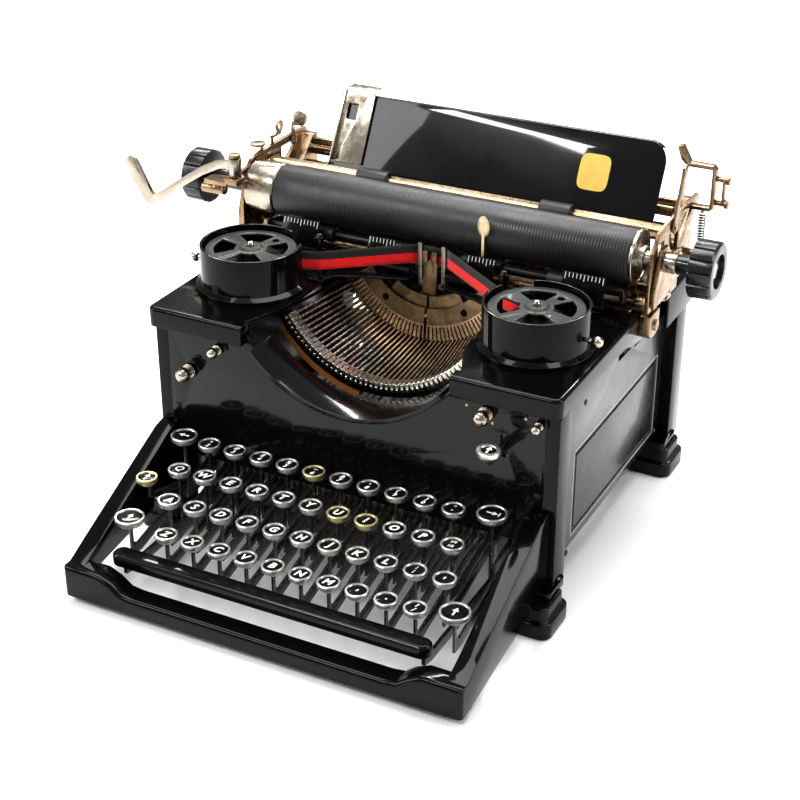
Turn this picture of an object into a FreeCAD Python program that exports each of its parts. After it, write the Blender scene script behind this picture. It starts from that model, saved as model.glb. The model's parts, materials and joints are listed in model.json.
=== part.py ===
"""A desk typewriter of the nineteen thirties: cast frame, four banks of keys, a basket of
typebars in a slotted segment, two ribbon spools and a carriage that slides and shifts.

Millimetres. X runs to the typist's right, Y away from the typist, Z up. The origin is on the
desk, midway between the four screw holes of the feet.
"""
import FreeCAD, Part
import math
import os
from FreeCAD import Vector as V

# Keyboard
KEY_PITCH = 19.05
KEY_COLUMN_0 = -106.7
KEY_RING_R = 7.3
KEY_RING_H = 4.7
BIG_KEY_R = 9.5
LEVER_T = 1.6
LEVER_H = 6.0
KEY_DROP = 12.0
# each row: name, first column, keys, distance from the origin, height of the key top
ROWS = {
    "number": (1.0, 10, -124.8, 77.2),
    "upper": (0.5, 11, -145.9, 67.1),
    "home": (0.75, 11, -165.7, 56.5),
    "lower": (1.25, 10, -184.2, 44.4),
}
HOME_NAMES = ["a", "s", "d", "f", "g", "h", "j", "k", "l", "semicolon", "apostrophe"]
FULCRUM_Y = 100.0
FULCRUM_Z = 40.0
FULCRUM_R = 3.0
RUN_GAP = 0.3
SHAFT_FIT = 0.06
SPACE_SHAFT_Y = -70.0
SPACE_SHAFT_Z = 25.2
SPACE_SHAFT_R = 2.0
ARBOR_R = 2.4

# Body
FOOT_X = 131.5
FOOT_Y = 108.0
FOOT_W = 32.4
FOOT_L = 35.0
FOOT_H = 20.0
SCREW_R = 3.2
POST_OUT_X = 139.9
POST_IN_X = 131.2
PANEL_X = 131.9
PANEL_T = 3.0
FRONT_Y = -101.1
FRONT_POST_BACK_Y = -84.0
REAR_POST_Y = 108.4
BODY_BACK_Y = 128.0
RAIL_Z = 138.0

# Keyboard surround
SURROUND_X = 136.0
SURROUND_FRONT_Y = -221.4
SURROUND_BAR_DEPTH = 14.4
SURROUND_BOTTOM = 5.0
SURROUND_CORNER_Z = 26.0
SURROUND_LOW_Z = 15.6
SURROUND_BACK_Z = 76.0
SURROUND_RIM = 12.0
SURROUND_RIM_T = 6.0
SURROUND_WALL = 3.2

# Top cover and spool cups
COVER_X = 141.9
COVER_FRONT_Y = -108.1
COVER_TOP = 154.0
COVER_SKIRT = 13.0
COVER_T = 3.0
COVER_EAR_Y = 41.0
COVER_MIDDLE_Y = 24.0
WING_INNER_X = 62.6
CUP_X = 100.0
CUP_Y = -47.0
CUP_R = 33.0
CUP_H = 29.0
CUP_WALL = 1.6
SPOOL_R = 29.5

# Type basket
TILT = 6.8
PRINT_POINT = V(0, 14.2, 182.3)
SEGMENT_R = 70.0
BAR_COUNT = 42
BAR_FAN = 54.0
BAR_T = 1.3
BAR_LENGTH = 74.0
BAR_DROOP = 5.6
SLOT_W = 1.9
SLOT_DEPTH = 3.4
WIRE_R = 1.0

# Carriage
PLATEN_Y = 34.0
PLATEN_Z = 188.0
PLATEN_R = 17.6
PLATEN_X0 = -122.0
PLATEN_X1 = 133.0
SHAFT_R = 5.0
END_PLATE_T = 2.6
RAIL_TOP = 154.2
RAIL_H = 5.2
RAIL_W = 8.0
FRONT_RAIL_Y = 30.0
REAR_RAIL_Y = 66.0
RACK_PITCH = 2.54
RACK_TEETH = 94
PINION_TEETH = 24
PINION_Z = 140.0
PAPER_TOP_Z = 240.0
PAPER_TOP_Y = 96.0

BALL_BANDS = 5

os.makedirs("parts", exist_ok=True)


def box(x0, x1, y0, y1, z0, z1):
    return Part.makeBox(x1 - x0, y1 - y0, z1 - z0, V(x0, y0, z0))


def rod(a, b, r):
    a, b = V(*a), V(*b)
    return Part.makeCylinder(r, (b - a).Length, a, b - a)


def pipe(a, b, r, hole):
    over = (V(*b) - V(*a)).normalize()
    return rod(a, b, r).cut(rod(V(*a) - over, V(*b) + over, hole))


def face_of(points):
    return Part.Face(Part.makePolygon(points + points[:1]))


def side_profile(points, x0, x1):
    """A plate cut to an outline of (y, z) points, from x0 to x1."""
    return face_of([V(x0, y, z) for y, z in points]).extrude(V(x1 - x0, 0, 0))


def front_profile(points, y0, y1):
    """A plate cut to an outline of (x, z) points, from y0 to y1."""
    return face_of([V(x, y0, z) for x, z in points]).extrude(V(0, y1 - y0, 0))


def top_profile(points, z0, z1):
    """A plate cut to an outline of (x, y) points, from z0 to z1."""
    return face_of([V(x, y, z0) for x, y in points]).extrude(V(0, 0, z1 - z0))


def turned(points, centre, axis=V(0, 0, 1)):
    """A solid of revolution from (radius, height) points about an upright line at centre."""
    face = face_of([V(r, 0, h) for r, h in points])
    solid = face.revolve(V(0, 0, 0), V(0, 0, 1), 360)
    solid.Placement = FreeCAD.Placement(V(*centre), FreeCAD.Rotation(V(0, 0, 1), axis))
    return solid


def ball_ended(points, r, centre, axis):
    """A turned stem through (radius, height) points, from the axis, with a ball of radius r."""
    stem_r, neck = points[-1]
    start = math.asin(stem_r / r)
    middle = neck + r * math.cos(start)
    profile = points[:-1]
    for k in range(BALL_BANDS + 1):
        a = start + (math.pi - start) * k / BALL_BANDS
        profile.append((r * math.sin(a), middle - r * math.cos(a)))
    return turned(profile, centre, axis)


def rounded_block(cx, cy, w, l, z0, z1, r):
    """An upright block with its four standing edges rounded."""
    block = box(cx - w / 2, cx + w / 2, cy - l / 2, cy + l / 2, z0, z1)
    edges = [e for e in block.Edges if abs(e.tangentAt(e.FirstParameter).z) > 0.9]
    return block.makeFillet(r, edges)


def soften(shape, r, wanted):
    """Round the edges whose middle point passes the test."""
    edges = []
    for e in shape.Edges:
        m = e.valueAt((e.FirstParameter + e.LastParameter) / 2)
        if wanted(m, e):
            edges.append(e)
    return shape.makeFillet(r, edges) if edges else shape


def mirrored(shape):
    return shape.mirror(V(0, 0, 0), V(1, 0, 0))


def fused(shapes):
    first, rest = shapes[0], shapes[1:]
    return first.fuse(rest).removeSplitter() if rest else first


def arc_wall(cx, cz, r_in, r_out, half_angle, y0, y1):
    """A curved wall below the point (cx, cz), from y0 to y1."""
    def at(r, degrees):
        a = math.radians(degrees)
        return V(cx + r * math.sin(a), y0, cz - r * math.cos(a))

    outer = Part.Arc(at(r_out, -half_angle), at(r_out, 0), at(r_out, half_angle)).toShape()
    inner = Part.Arc(at(r_in, half_angle), at(r_in, 0), at(r_in, -half_angle)).toShape()
    end_a = Part.makeLine(at(r_out, half_angle), at(r_in, half_angle))
    end_b = Part.makeLine(at(r_in, -half_angle), at(r_out, -half_angle))
    wire = Part.Wire([outer, end_a, inner, end_b])
    return Part.Face(wire).extrude(V(0, y1 - y0, 0))


NODES = {}


def add(name, *shapes):
    """Adds the shapes' solids to a node, which is written at the end."""
    for shape in shapes:
        for solid in shape.Solids:
            if not solid.isValid() or solid.Volume <= 0:
                raise ValueError(f"{name} holds a solid that isn't valid")
            NODES.setdefault(name, []).append(solid)


# Feet

def foot(cx, cy):
    """A rubber foot in two tiers, with a screw hole down its middle."""
    lower = rounded_block(cx, cy, FOOT_W, FOOT_L, 0, FOOT_H * 0.55, 7)
    upper = rounded_block(cx, cy, FOOT_W - 6, FOOT_L - 6, FOOT_H * 0.55, FOOT_H, 5)
    return lower.fuse(upper).cut(rod((cx, cy, -1), (cx, cy, FOOT_H + 1), SCREW_R))


add("feet", *[foot(sx * FOOT_X, sy * FOOT_Y) for sx in (-1, 1) for sy in (-1, 1)])


# Cast main frame: four posts, side rails, cross members and the segment's seat

SEGMENT_FRAME = FreeCAD.Placement(PRINT_POINT, FreeCAD.Rotation(V(1, 0, 0), -TILT))
SEGMENT_BACK = 6.0
POST_PAD_T = 5.0
SIDE_RAIL_X = PANEL_X - PANEL_T - 0.5
SIDE_RAIL_T = 9.0


def main_frame():
    shapes = []
    for s in (-1, 1):
        x_in, x_out = sorted((s * POST_IN_X, s * POST_OUT_X))
        shapes.append(box(x_in, x_out, FRONT_Y, FRONT_POST_BACK_Y, FOOT_H, RAIL_Z))
        shapes.append(box(x_in, x_out, REAR_POST_Y, BODY_BACK_Y, FOOT_H, RAIL_Z - 18))
        r_in, r_out = sorted((s * SIDE_RAIL_X, s * (SIDE_RAIL_X - SIDE_RAIL_T)))
        for z0, z1 in ((FOOT_H + 2, FOOT_H + 14), (RAIL_Z - 18, RAIL_Z - 8)):
            shapes.append(box(r_in, r_out, FRONT_Y + 4, BODY_BACK_Y - 4, z0, z1))
        e_in, e_out = sorted((s * (SIDE_RAIL_X - SIDE_RAIL_T), s * POST_OUT_X))
        shapes.append(box(e_in, e_out, FRONT_Y + 4, FRONT_POST_BACK_Y, FOOT_H, RAIL_Z - 8))
        shapes.append(box(e_in, e_out, REAR_POST_Y, BODY_BACK_Y - 4, FOOT_H, RAIL_Z - 18))
        for cy in (-FOOT_Y, FOOT_Y):
            pad_y = cy + (8 if cy < 0 else -2)
            pad_x = s * (FOOT_X - 1)
            shapes.append(rounded_block(pad_x, pad_y, 24, 26, FOOT_H, FOOT_H + POST_PAD_T, 4))
        # bearing for the key fulcrum
        b_in, b_out = sorted((s * (SIDE_RAIL_X - SIDE_RAIL_T), s * (SIDE_RAIL_X - 2)))
        shapes.append(box(b_in, b_out, FULCRUM_Y - 8, FULCRUM_Y + 8, FOOT_H + 10, FULCRUM_Z + 8))
    cross_x = SIDE_RAIL_X - SIDE_RAIL_T / 2
    shapes.append(box(-cross_x, cross_x, COVER_MIDDLE_Y + 1, COVER_MIDDLE_Y + 12, 126, 148))
    shapes.append(box(-cross_x, cross_x, REAR_RAIL_Y - 6, REAR_RAIL_Y + 4, 120, 148))
    shapes.append(box(-cross_x, cross_x, BODY_BACK_Y - 14, BODY_BACK_Y - 4, FOOT_H + 2, 32))
    # seat of the segment, square to the tilted segment
    seat = box(-17, 17, SEGMENT_BACK, 18, -52, -36)
    seat.Placement = SEGMENT_FRAME
    shapes.append(seat)
    frame = fused(shapes)
    for s in (-1, 1):
        for cy in (-FOOT_Y, FOOT_Y):
            hole = rod((s * FOOT_X, cy, FOOT_H - 1), (s * FOOT_X, cy, FOOT_H + 12), SCREW_R)
            frame = frame.cut(hole)
    ends = SIDE_RAIL_X - 4
    bearing = rod((-ends, FULCRUM_Y, FULCRUM_Z), (ends, FULCRUM_Y, FULCRUM_Z), FULCRUM_R)
    space = rod((-ends, SPACE_SHAFT_Y, SPACE_SHAFT_Z), (ends, SPACE_SHAFT_Y, SPACE_SHAFT_Z),
                SPACE_SHAFT_R + SHAFT_FIT)
    arbor = rod((0, REAR_RAIL_Y - 4, PINION_Z), (0, REAR_RAIL_Y + 6, PINION_Z),
                ARBOR_R + SHAFT_FIT)
    return frame.cut([bearing, space, arbor])


add("main_frame", main_frame())


# Front plate with its dished top edge, and the rim of the type basket

BOWL_R = 86.9
BOWL_Z = 193.6
BOWL_HALF = 50.5
PLATE_BOTTOM = 50.0
SELECTOR_AT = (93.0, 132.0)
MARGIN_KEY_HOLE = (105.0, 113.0)
BALL_KNOB_AT = (-115.5, 112.0)
WING_KNOB_AT = (-93.0, 132.0)
STENCIL_PIN_AT = (127.0, 132.0)


def front_plate():
    top = COVER_TOP - COVER_SKIRT - 0.3
    half = POST_IN_X - 0.2
    plate = box(-half, half, FRONT_Y, FRONT_Y + 3, PLATE_BOTTOM, top)
    plate = plate.cut(rod((0, FRONT_Y - 1, BOWL_Z), (0, FRONT_Y + 4, BOWL_Z), BOWL_R + 0.3))
    for (x, z), r in ((SELECTOR_AT, 3.4), (BALL_KNOB_AT, 3.4), (WING_KNOB_AT, 2.4),
                      (STENCIL_PIN_AT, 2.0)):
        plate = plate.cut(rod((x, FRONT_Y - 1, z), (x, FRONT_Y + 4, z), r))
    slot_x, slot_z = MARGIN_KEY_HOLE
    slot = rounded_block(slot_x, 0, 5, 16, FRONT_Y - 1, FRONT_Y + 4, 2.4)
    slot.rotate(V(0, 0, 0), V(1, 0, 0), -90)
    slot.translate(V(0, 0, slot_z))
    return plate.cut(slot)


add("front_plate", front_plate())

rim = arc_wall(0, BOWL_Z, BOWL_R - 3.2, BOWL_R, BOWL_HALF, COVER_FRONT_Y, -80)
add("front_plate", rim)


# Side panels with their sunk rectangle, and the low rear panel

INSET_Y0 = -52.7
INSET_Y1 = 94.8
INSET_Z0 = 33.0
INSET_Z1 = 90.0
INSET_LINE = 2.4


def side_panel():
    outside = PANEL_X
    inside = PANEL_X - PANEL_T
    top = COVER_TOP - COVER_SKIRT - 0.6
    low = FOOT_H + POST_PAD_T + 0.3
    panel = side_profile([(FRONT_POST_BACK_Y + 0.2, low), (REAR_POST_Y - 0.2, low),
                          (REAR_POST_Y - 0.2, 119.5), (46, 119.5), (40, 132),
                          (14, 132), (14, top), (FRONT_POST_BACK_Y + 0.2, top)],
                         inside, outside)
    groove = box(outside - 0.9, outside + 1, INSET_Y0, INSET_Y1, INSET_Z0, INSET_Z1)
    line = INSET_LINE
    groove = groove.cut(box(outside - 2, outside + 2, INSET_Y0 + line, INSET_Y1 - line,
                            INSET_Z0 + line, INSET_Z1 - line))
    notch = box(inside - 1, outside + 1, 16, 38, 122, 129)
    return panel.cut([groove, notch])


right_panel = side_panel()
add("side_panels", right_panel)
add("side_panels", mirrored(right_panel))

rear = box(-SIDE_RAIL_X, SIDE_RAIL_X, BODY_BACK_Y - 4, BODY_BACK_Y - 2, 34, 62)
add("side_panels", soften(rear, 6, lambda m, e: abs(m.x) > 120 and e.Length < 3))


# Keyboard surround

def keyboard_surround():
    back = FRONT_Y - 0.3
    front = SURROUND_FRONT_Y
    corner = front + 8
    top_line = [(back, SURROUND_BACK_Z), (back - 14, SURROUND_BACK_Z - 3),
                (corner + 14, SURROUND_CORNER_Z + 7), (corner, SURROUND_CORNER_Z)]
    under_line = [(y, z - SURROUND_RIM_T) for y, z in reversed(top_line)]
    toe = -FOOT_Y - FOOT_L / 2 - 2
    wall = side_profile(top_line + [(corner, SURROUND_BOTTOM), (toe, FOOT_H - 2),
                                    (toe + 1, FOOT_H + POST_PAD_T), (back, FOOT_H + POST_PAD_T)],
                        SURROUND_X - SURROUND_WALL, SURROUND_X)
    flange = side_profile(top_line + under_line, SURROUND_X - SURROUND_RIM, SURROUND_X)
    shapes = []
    shapes += [wall, flange, mirrored(wall), mirrored(flange)]
    edge = SURROUND_X
    step = edge - 50
    outline = [(-edge, SURROUND_BOTTOM), (edge, SURROUND_BOTTOM), (edge, SURROUND_CORNER_Z),
               (edge - 26, SURROUND_CORNER_Z), (edge - 35, SURROUND_CORNER_Z - 4),
               (edge - 42, SURROUND_LOW_Z + 1), (step, SURROUND_LOW_Z),
               (-step, SURROUND_LOW_Z), (42 - edge, SURROUND_LOW_Z + 1),
               (35 - edge, SURROUND_CORNER_Z - 4), (26 - edge, SURROUND_CORNER_Z),
               (-edge, SURROUND_CORNER_Z)]
    bar = front_profile(outline, front, front + SURROUND_BAR_DEPTH)
    bar = soften(bar, 3, lambda m, e: m.y < front + 0.1 and m.z > SURROUND_BOTTOM + 6)
    hollow = box(-edge + 5, edge - 5, front + 4, front + SURROUND_BAR_DEPTH - 3,
                 SURROUND_BOTTOM - 1, SURROUND_LOW_Z - 3)
    shapes.append(bar.cut(hollow))
    return fused(shapes)


add("keyboard_surround", keyboard_surround())


# Top cover: two wings joined behind the type basket, with ears beside the carriage channel

def top_cover():
    c, f = COVER_X, COVER_FRONT_Y
    mid, ear = COVER_MIDDLE_Y, COVER_EAR_Y
    throat = mid - 5.4
    outline = [(-c, f), (-74.5, f), (-74.5, f + 10), (-WING_INNER_X, -68.4), (-WING_INNER_X, -8),
               (-68, 0), (-68, throat), (68, throat), (68, 0), (WING_INNER_X, -8),
               (WING_INNER_X, -68.4), (74.5, f + 10), (74.5, f), (c, f), (c, ear), (c - 8, ear),
               (c - 8, mid), (8 - c, mid), (8 - c, ear), (-c, ear)]
    plate = top_profile(outline, COVER_TOP - COVER_T, COVER_TOP)
    skirt_bottom = COVER_TOP - COVER_SKIRT
    shapes = [plate]
    for s in (-1, 1):
        x0, x1 = sorted((s * 74.5, s * c))
        shapes.append(box(x0, x1, f, f + COVER_T, skirt_bottom, COVER_TOP))
        side = side_profile([(f, skirt_bottom), (-2, skirt_bottom), (13, 136.5), (ear, 133.4),
                             (ear, COVER_TOP - 6), (ear - 6, COVER_TOP), (f, COVER_TOP)],
                            c - COVER_T, c)
        shapes.append(side if s > 0 else mirrored(side))
        x0, x1 = sorted((s * 74.5, s * 71.5))
        shapes.append(box(x0, x1, f, f + 10, skirt_bottom, COVER_TOP))
    cover = fused(shapes)
    cover = soften(cover, 6, lambda m, e: abs(abs(m.x) - c) < 0.1 and m.y < f + 0.1
                   and abs(e.tangentAt(e.FirstParameter).z) > 0.9)
    cover = soften(cover, 2.6, lambda m, e: m.z > COVER_TOP - 0.1
                   and ((m.y < f + 7 and abs(m.x) > 76) or (abs(m.x) > c - 0.1 and m.y < ear - 7)))
    for s in (-1, 1):
        cover = cover.cut(rod((s * CUP_X, CUP_Y, COVER_TOP - 9), (s * CUP_X, CUP_Y, COVER_TOP + 9), 4))
    return cover


add("top_cover", top_cover())


def rear_housing():
    y0, y1 = 80.0, BODY_BACK_Y + 14
    z0, z1 = 120.4, 148.0
    shell = box(-COVER_X, COVER_X, y0, y1, z0, z1)
    shell = soften(shell, 10, lambda m, e: m.y > y1 - 0.1 and m.z > z1 - 0.1)
    shell = soften(shell, 5, lambda m, e: abs(m.x) > COVER_X - 0.1 and m.y > y1 - 0.1
                   and m.z < z1 - 5)
    inner = box(-COVER_X + 3, COVER_X - 3, y0 - 1, y1 - 3, z0 - 1, z1 - 3)
    inner = soften(inner, 8, lambda m, e: m.y > y1 - 3.1 and m.z > z1 - 3.1)
    return shell.cut(inner)


add("rear_housing", rear_housing())


# Spool cups, spools and their shafts

def spool_cup(side):
    """side is -1 for the left cup. The wall is cut away towards the printing point."""
    z = COVER_TOP
    r, w = CUP_R, CUP_WALL
    cup = turned([(3.0, 0), (r + 3.4, 0), (r + 3.4, 2.6), (r, 4.4), (r, CUP_H), (r - w, CUP_H),
                  (r - w, 4), (3.0, 4)], (0, 0, 0))
    mouth = box(14, r + 4, 14, r + 4, 5.2, CUP_H + 1)
    cup = cup.cut(mouth)
    if side > 0:
        cup = mirrored(cup)
    cup.translate(V(side * CUP_X, CUP_Y, z))
    return cup


def petal_opening(r_in, r_out, spread):
    """A wedge-shaped opening with rounded ends, pointing along +X."""
    a = math.radians(spread)
    inner = [V(r_in * math.cos(a), -r_in * math.sin(a), 0), V(r_in, 0, 0),
             V(r_in * math.cos(a), r_in * math.sin(a), 0)]
    b = math.radians(spread * 1.25)
    outer = [V(r_out * math.cos(b), r_out * math.sin(b), 0), V(r_out, 0, 0),
             V(r_out * math.cos(b), -r_out * math.sin(b), 0)]
    wire = Part.Wire([Part.Arc(*inner).toShape(), Part.makeLine(inner[2], outer[0]),
                      Part.Arc(*outer).toShape(), Part.makeLine(outer[2], inner[0])])
    return Part.Face(wire).extrude(V(0, 0, 4))


def spool(side):
    """A ribbon spool: two flanges on a core, the upper one with four openings."""
    core = turned([(2.6, 5), (8, 5), (8, 25.5), (2.6, 25.5)], (0, 0, 0))
    low = turned([(2.6, 4.3), (SPOOL_R, 4.3), (SPOOL_R, 5.3), (2.6, 5.3)], (0, 0, 0))
    top = turned([(2.6, 24.4), (SPOOL_R, 24.4), (SPOOL_R, 25.6), (8, 25.6), (6, 27), (2.6, 27)],
                 (0, 0, 0))
    for k in range(4):
        hole = petal_opening(10.5, SPOOL_R - 5.5, 24)
        hole.translate(V(0, 0, 23))
        hole.rotate(V(0, 0, 0), V(0, 0, 1), 20 + 90 * k)
        top = top.cut(hole)
    finger = 0.66 * SPOOL_R
    turn = math.radians(65)
    eye = V(finger * math.cos(turn), finger * math.sin(turn), 20)
    top = top.cut(Part.makeCylinder(2.6, 10, eye))
    whole = core.fuse([low, top])
    whole.translate(V(side * CUP_X, CUP_Y, COVER_TOP))
    return whole


def ribbon_pack(side, r):
    wound = turned([(8.0, 6.0), (r, 6.0), (r, 19.0), (8.0, 19.0)], (0, 0, 0))
    wound.translate(V(side * CUP_X, CUP_Y, COVER_TOP))
    return wound


def spool_shaft(side):
    shaft = turned([(0, -14), (2.2, -14), (2.2, 28), (1.4, 30), (0, 30)], (0, 0, 0))
    collar = turned([(0, -14), (6, -14), (6, -4), (0, -4)], (0, 0, 0))
    shaft = shaft.fuse(collar)
    shaft.translate(V(side * CUP_X, CUP_Y, COVER_TOP))
    return shaft


PACK_R_LEFT = 20.0
PACK_R_RIGHT = 17.0
for side, name, pack_r in ((-1, "left", PACK_R_LEFT), (1, "right", PACK_R_RIGHT)):
    add("spool_cups", spool_cup(side))
    add(f"spool_{name}", spool(side))
    add(f"spool_{name}", ribbon_pack(side, pack_r))
add("front_fittings", spool_shaft(-1), spool_shaft(1))


def ball_stud(side):
    start = (side * (CUP_X + CUP_R + 0.1), CUP_Y - 4, COVER_TOP + 13)
    return ball_ended([(0, 0), (1.5, 0), (1.5, 4.6)], 3.6, start, V(side, 0, 0))


add("front_fittings", ball_stud(-1), ball_stud(1))


POST_AT = (65.5, -18.0)


def guide_post(side):
    x, y = side * POST_AT[0], POST_AT[1]
    post = turned([(0, 0), (1.9, 0), (1.9, 24), (3.2, 25), (3.2, 28.6), (1.6, 31), (0, 31)],
                  (0, 0, 0))
    post.translate(V(x, y, COVER_TOP))
    return post


# Key levers and keys

def lever_outline(y_key, z_key):
    """Outline of one key lever: an open hook at the fulcrum, a straight bar, a bent front, and
    the stem under the key."""
    hook = FULCRUM_R + RUN_GAP
    z_low = z_key - KEY_RING_H
    slope_y = FRONT_Y + 4
    knee_z = 44.5
    front_z = knee_z + (slope_y - y_key) * -0.235
    stem = 1.3
    back = FULCRUM_Y + hook + 3.5
    bottom_back = FULCRUM_Z - hook - 3.0
    return [
        (back, FULCRUM_Z + hook + 2.6), (slope_y + 6, knee_z), (slope_y - 6, knee_z - 2),
        (y_key + stem + 4, front_z + 1.0), (y_key + stem, front_z + 4), (y_key + stem, z_low),
        (y_key - stem, z_low), (y_key - stem, front_z - LEVER_H),
        (y_key + stem + 8, front_z - LEVER_H), (slope_y - 6, knee_z - 2 - LEVER_H),
        (slope_y + 6, knee_z - LEVER_H), (FULCRUM_Y - 14, bottom_back),
        (FULCRUM_Y - hook, bottom_back), (FULCRUM_Y - hook, FULCRUM_Z + hook),
        (FULCRUM_Y + hook, FULCRUM_Z + hook), (FULCRUM_Y + hook, bottom_back),
        (back, bottom_back),
    ]


def key_head(x, y, z, r=KEY_RING_R):
    return turned([(0, 0), (r, 0), (r, KEY_RING_H - 0.8), (r - 0.8, KEY_RING_H),
                   (0, KEY_RING_H)], (x, y, z - KEY_RING_H))


def column_x(column):
    return KEY_COLUMN_0 + column * KEY_PITCH


def row_keys(row):
    first, count, y, z = ROWS[row]
    return [(column_x(first + k), y, z) for k in range(count)]


def lever(x, y, z):
    return side_profile(lever_outline(y, z), x - LEVER_T / 2, x + LEVER_T / 2)


for row in ("number", "upper", "lower"):
    add(f"key_bank_{row}", *[lever(*k) for k in row_keys(row)])
    add(f"key_bank_{row}", *[key_head(*k) for k in row_keys(row)])
for name, key in zip(HOME_NAMES, row_keys("home")):
    add(f"key_{name}", key_head(*key).fuse(lever(*key)))

fulcrum_end = SIDE_RAIL_X - 4.2
add("lever_rods", rod((-fulcrum_end, FULCRUM_Y, FULCRUM_Z), (fulcrum_end, FULCRUM_Y, FULCRUM_Z), FULCRUM_R))


# Comb that spaces the levers under the front plate

COMB_Y = -94.0
COMB_TOP = 52.0
COMB_BOTTOM = 27.0
COMB_T = 2.4
SLOT_CLEAR = 0.45


def lever_comb():
    end = SIDE_RAIL_X - SIDE_RAIL_T
    comb = box(-end, end, COMB_Y, COMB_Y + COMB_T, COMB_BOTTOM, COMB_TOP + 6)
    width = LEVER_T + 2 * SLOT_CLEAR
    slots = []
    xs = [x for row in ROWS for x, _, _ in row_keys(row)]
    xs += [BACKSPACE[0], TABULATOR[0], SHIFT_LEFT[0], SHIFT_RIGHT[0]]
    for x in xs:
        slots.append(box(x - width / 2, x + width / 2, COMB_Y - 1, COMB_Y + COMB_T + 1,
                         COMB_BOTTOM - 1, COMB_TOP))
    return comb.cut(slots)


BACKSPACE = (column_x(0.0), -124.8, 78.5)
TABULATOR = (column_x(11.25), -122.0, 79.0)
SHIFT_LEFT = (-111.4, -182.0, 47.5)
SHIFT_RIGHT = (112.4, -181.5, 47.5)
add("lever_rods", lever_comb())
add("key_backspace", key_head(*BACKSPACE, BIG_KEY_R - 0.8).fuse(lever(*BACKSPACE)))
add("key_tabulator", key_head(*TABULATOR, BIG_KEY_R).fuse(lever(*TABULATOR)))


# Shift keys on one shaft, and the lock that rides on the left one

SHIFT_SHAFT_Y = FULCRUM_Y - 18
SHIFT_SHAFT_Z = 26.0


def shift_lever(x, y, z):
    plate = side_profile(lever_outline(y, z), x - LEVER_T / 2, x + LEVER_T / 2)
    ear = side_profile([(SHIFT_SHAFT_Y - 7, 44), (SHIFT_SHAFT_Y - 5, 20), (SHIFT_SHAFT_Y + 5, 20),
                        (SHIFT_SHAFT_Y + 7, 44)], x - LEVER_T / 2, x + LEVER_T / 2)
    return plate.fuse(ear)


add("shift_keys", shift_lever(*SHIFT_LEFT).fuse(key_head(*SHIFT_LEFT, BIG_KEY_R)))
add("shift_keys", shift_lever(*SHIFT_RIGHT).fuse(key_head(*SHIFT_RIGHT, BIG_KEY_R)))
add("shift_keys", rod((SHIFT_LEFT[0] + LEVER_T / 2, SHIFT_SHAFT_Y, SHIFT_SHAFT_Z),
                        (SHIFT_RIGHT[0] - LEVER_T / 2, SHIFT_SHAFT_Y, SHIFT_SHAFT_Z), 3.0))

LOCK_AT = (-115.0, -156.5, 62.0)
LOCK_PIVOT = (-122.0, 35.6)


def shift_lock():
    """The lock key on a short arm that pivots on the outer face of the left shift lever."""
    x, y, z = LOCK_AT
    face = SHIFT_LEFT[0] - LEVER_T / 2
    x0, x1 = face - 1.9, face - 0.3
    py, pz = LOCK_PIVOT
    arm = side_profile([(py + 6, pz - 4), (py + 6, pz + 4), (y + 1.5, z - 12), (y + 1.5, z - KEY_RING_H),
                        (y - 1.5, z - KEY_RING_H), (y - 1.5, z - 14), (py - 5, pz - 4)], x0, x1)
    hub = rod((x0 - 1.2, py, pz), (x1, py, pz), 3.6)
    pin_hole = rod((x0 - 3, py, pz), (x1 + 1, py, pz), 1.7)
    head = key_head(x, y, z, KEY_RING_R - 0.4)
    return arm.fuse([hub, head]).cut(pin_hole)


add("shift_lock", shift_lock())
lock_pin_x = SHIFT_LEFT[0] - LEVER_T / 2
add("shift_keys", rod((lock_pin_x - 3.4, *LOCK_PIVOT), (lock_pin_x, *LOCK_PIVOT), 1.6))


# Space bar on two arms

SPACE_Y = -198.5
SPACE_TOP = 33.0
SPACE_X0 = -112.5
SPACE_X1 = 106.0
SPACE_ARM_X = (-102.3, 102.85)
SPACE_W = 12.5
SPACE_H = 8.0


def space_bar():
    mid_x = (SPACE_X0 + SPACE_X1) / 2
    bar = rounded_block(mid_x, SPACE_Y, SPACE_X1 - SPACE_X0, SPACE_W, SPACE_TOP - SPACE_H,
                        SPACE_TOP, SPACE_W / 2 - 0.1)
    return bar.makeChamfer(1.6, [e for e in bar.Edges if e.BoundBox.ZMin > SPACE_TOP - 0.1])


def space_arm(x):
    z_bar = SPACE_TOP - SPACE_H
    outline = [(SPACE_Y - 4, z_bar + 1), (SPACE_Y + 4, z_bar + 1), (SPACE_Y + 10, 24),
               (FRONT_Y - 14, 24), (FRONT_Y, 25), (SPACE_SHAFT_Y, SPACE_SHAFT_Z + 3.6),
               (SPACE_SHAFT_Y + 3.6, SPACE_SHAFT_Z), (SPACE_SHAFT_Y, SPACE_SHAFT_Z - 3.6),
               (FRONT_Y, 20), (FRONT_Y - 14, 18), (SPACE_Y + 6, 18),
               (SPACE_Y - 4, z_bar - 5)]
    return side_profile(outline, x - 1.2, x + 1.2)


space_end = SIDE_RAIL_X - 4.4
space_shaft = rod((-space_end, SPACE_SHAFT_Y, SPACE_SHAFT_Z),
                  (space_end, SPACE_SHAFT_Y, SPACE_SHAFT_Z), SPACE_SHAFT_R)
add("space_bar", space_bar(), space_shaft)
add("space_bar", *[space_arm(x).cut([space_bar(), space_shaft]) for x in SPACE_ARM_X])


# Type basket, built square to the segment's own plane and then tilted into place

def tilted(shape):
    shape.Placement = SEGMENT_FRAME.multiply(shape.Placement)
    return shape


def bar_angles():
    step = 2 * BAR_FAN / (BAR_COUNT - 1)
    return [-BAR_FAN + k * step for k in range(BAR_COUNT)]


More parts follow.
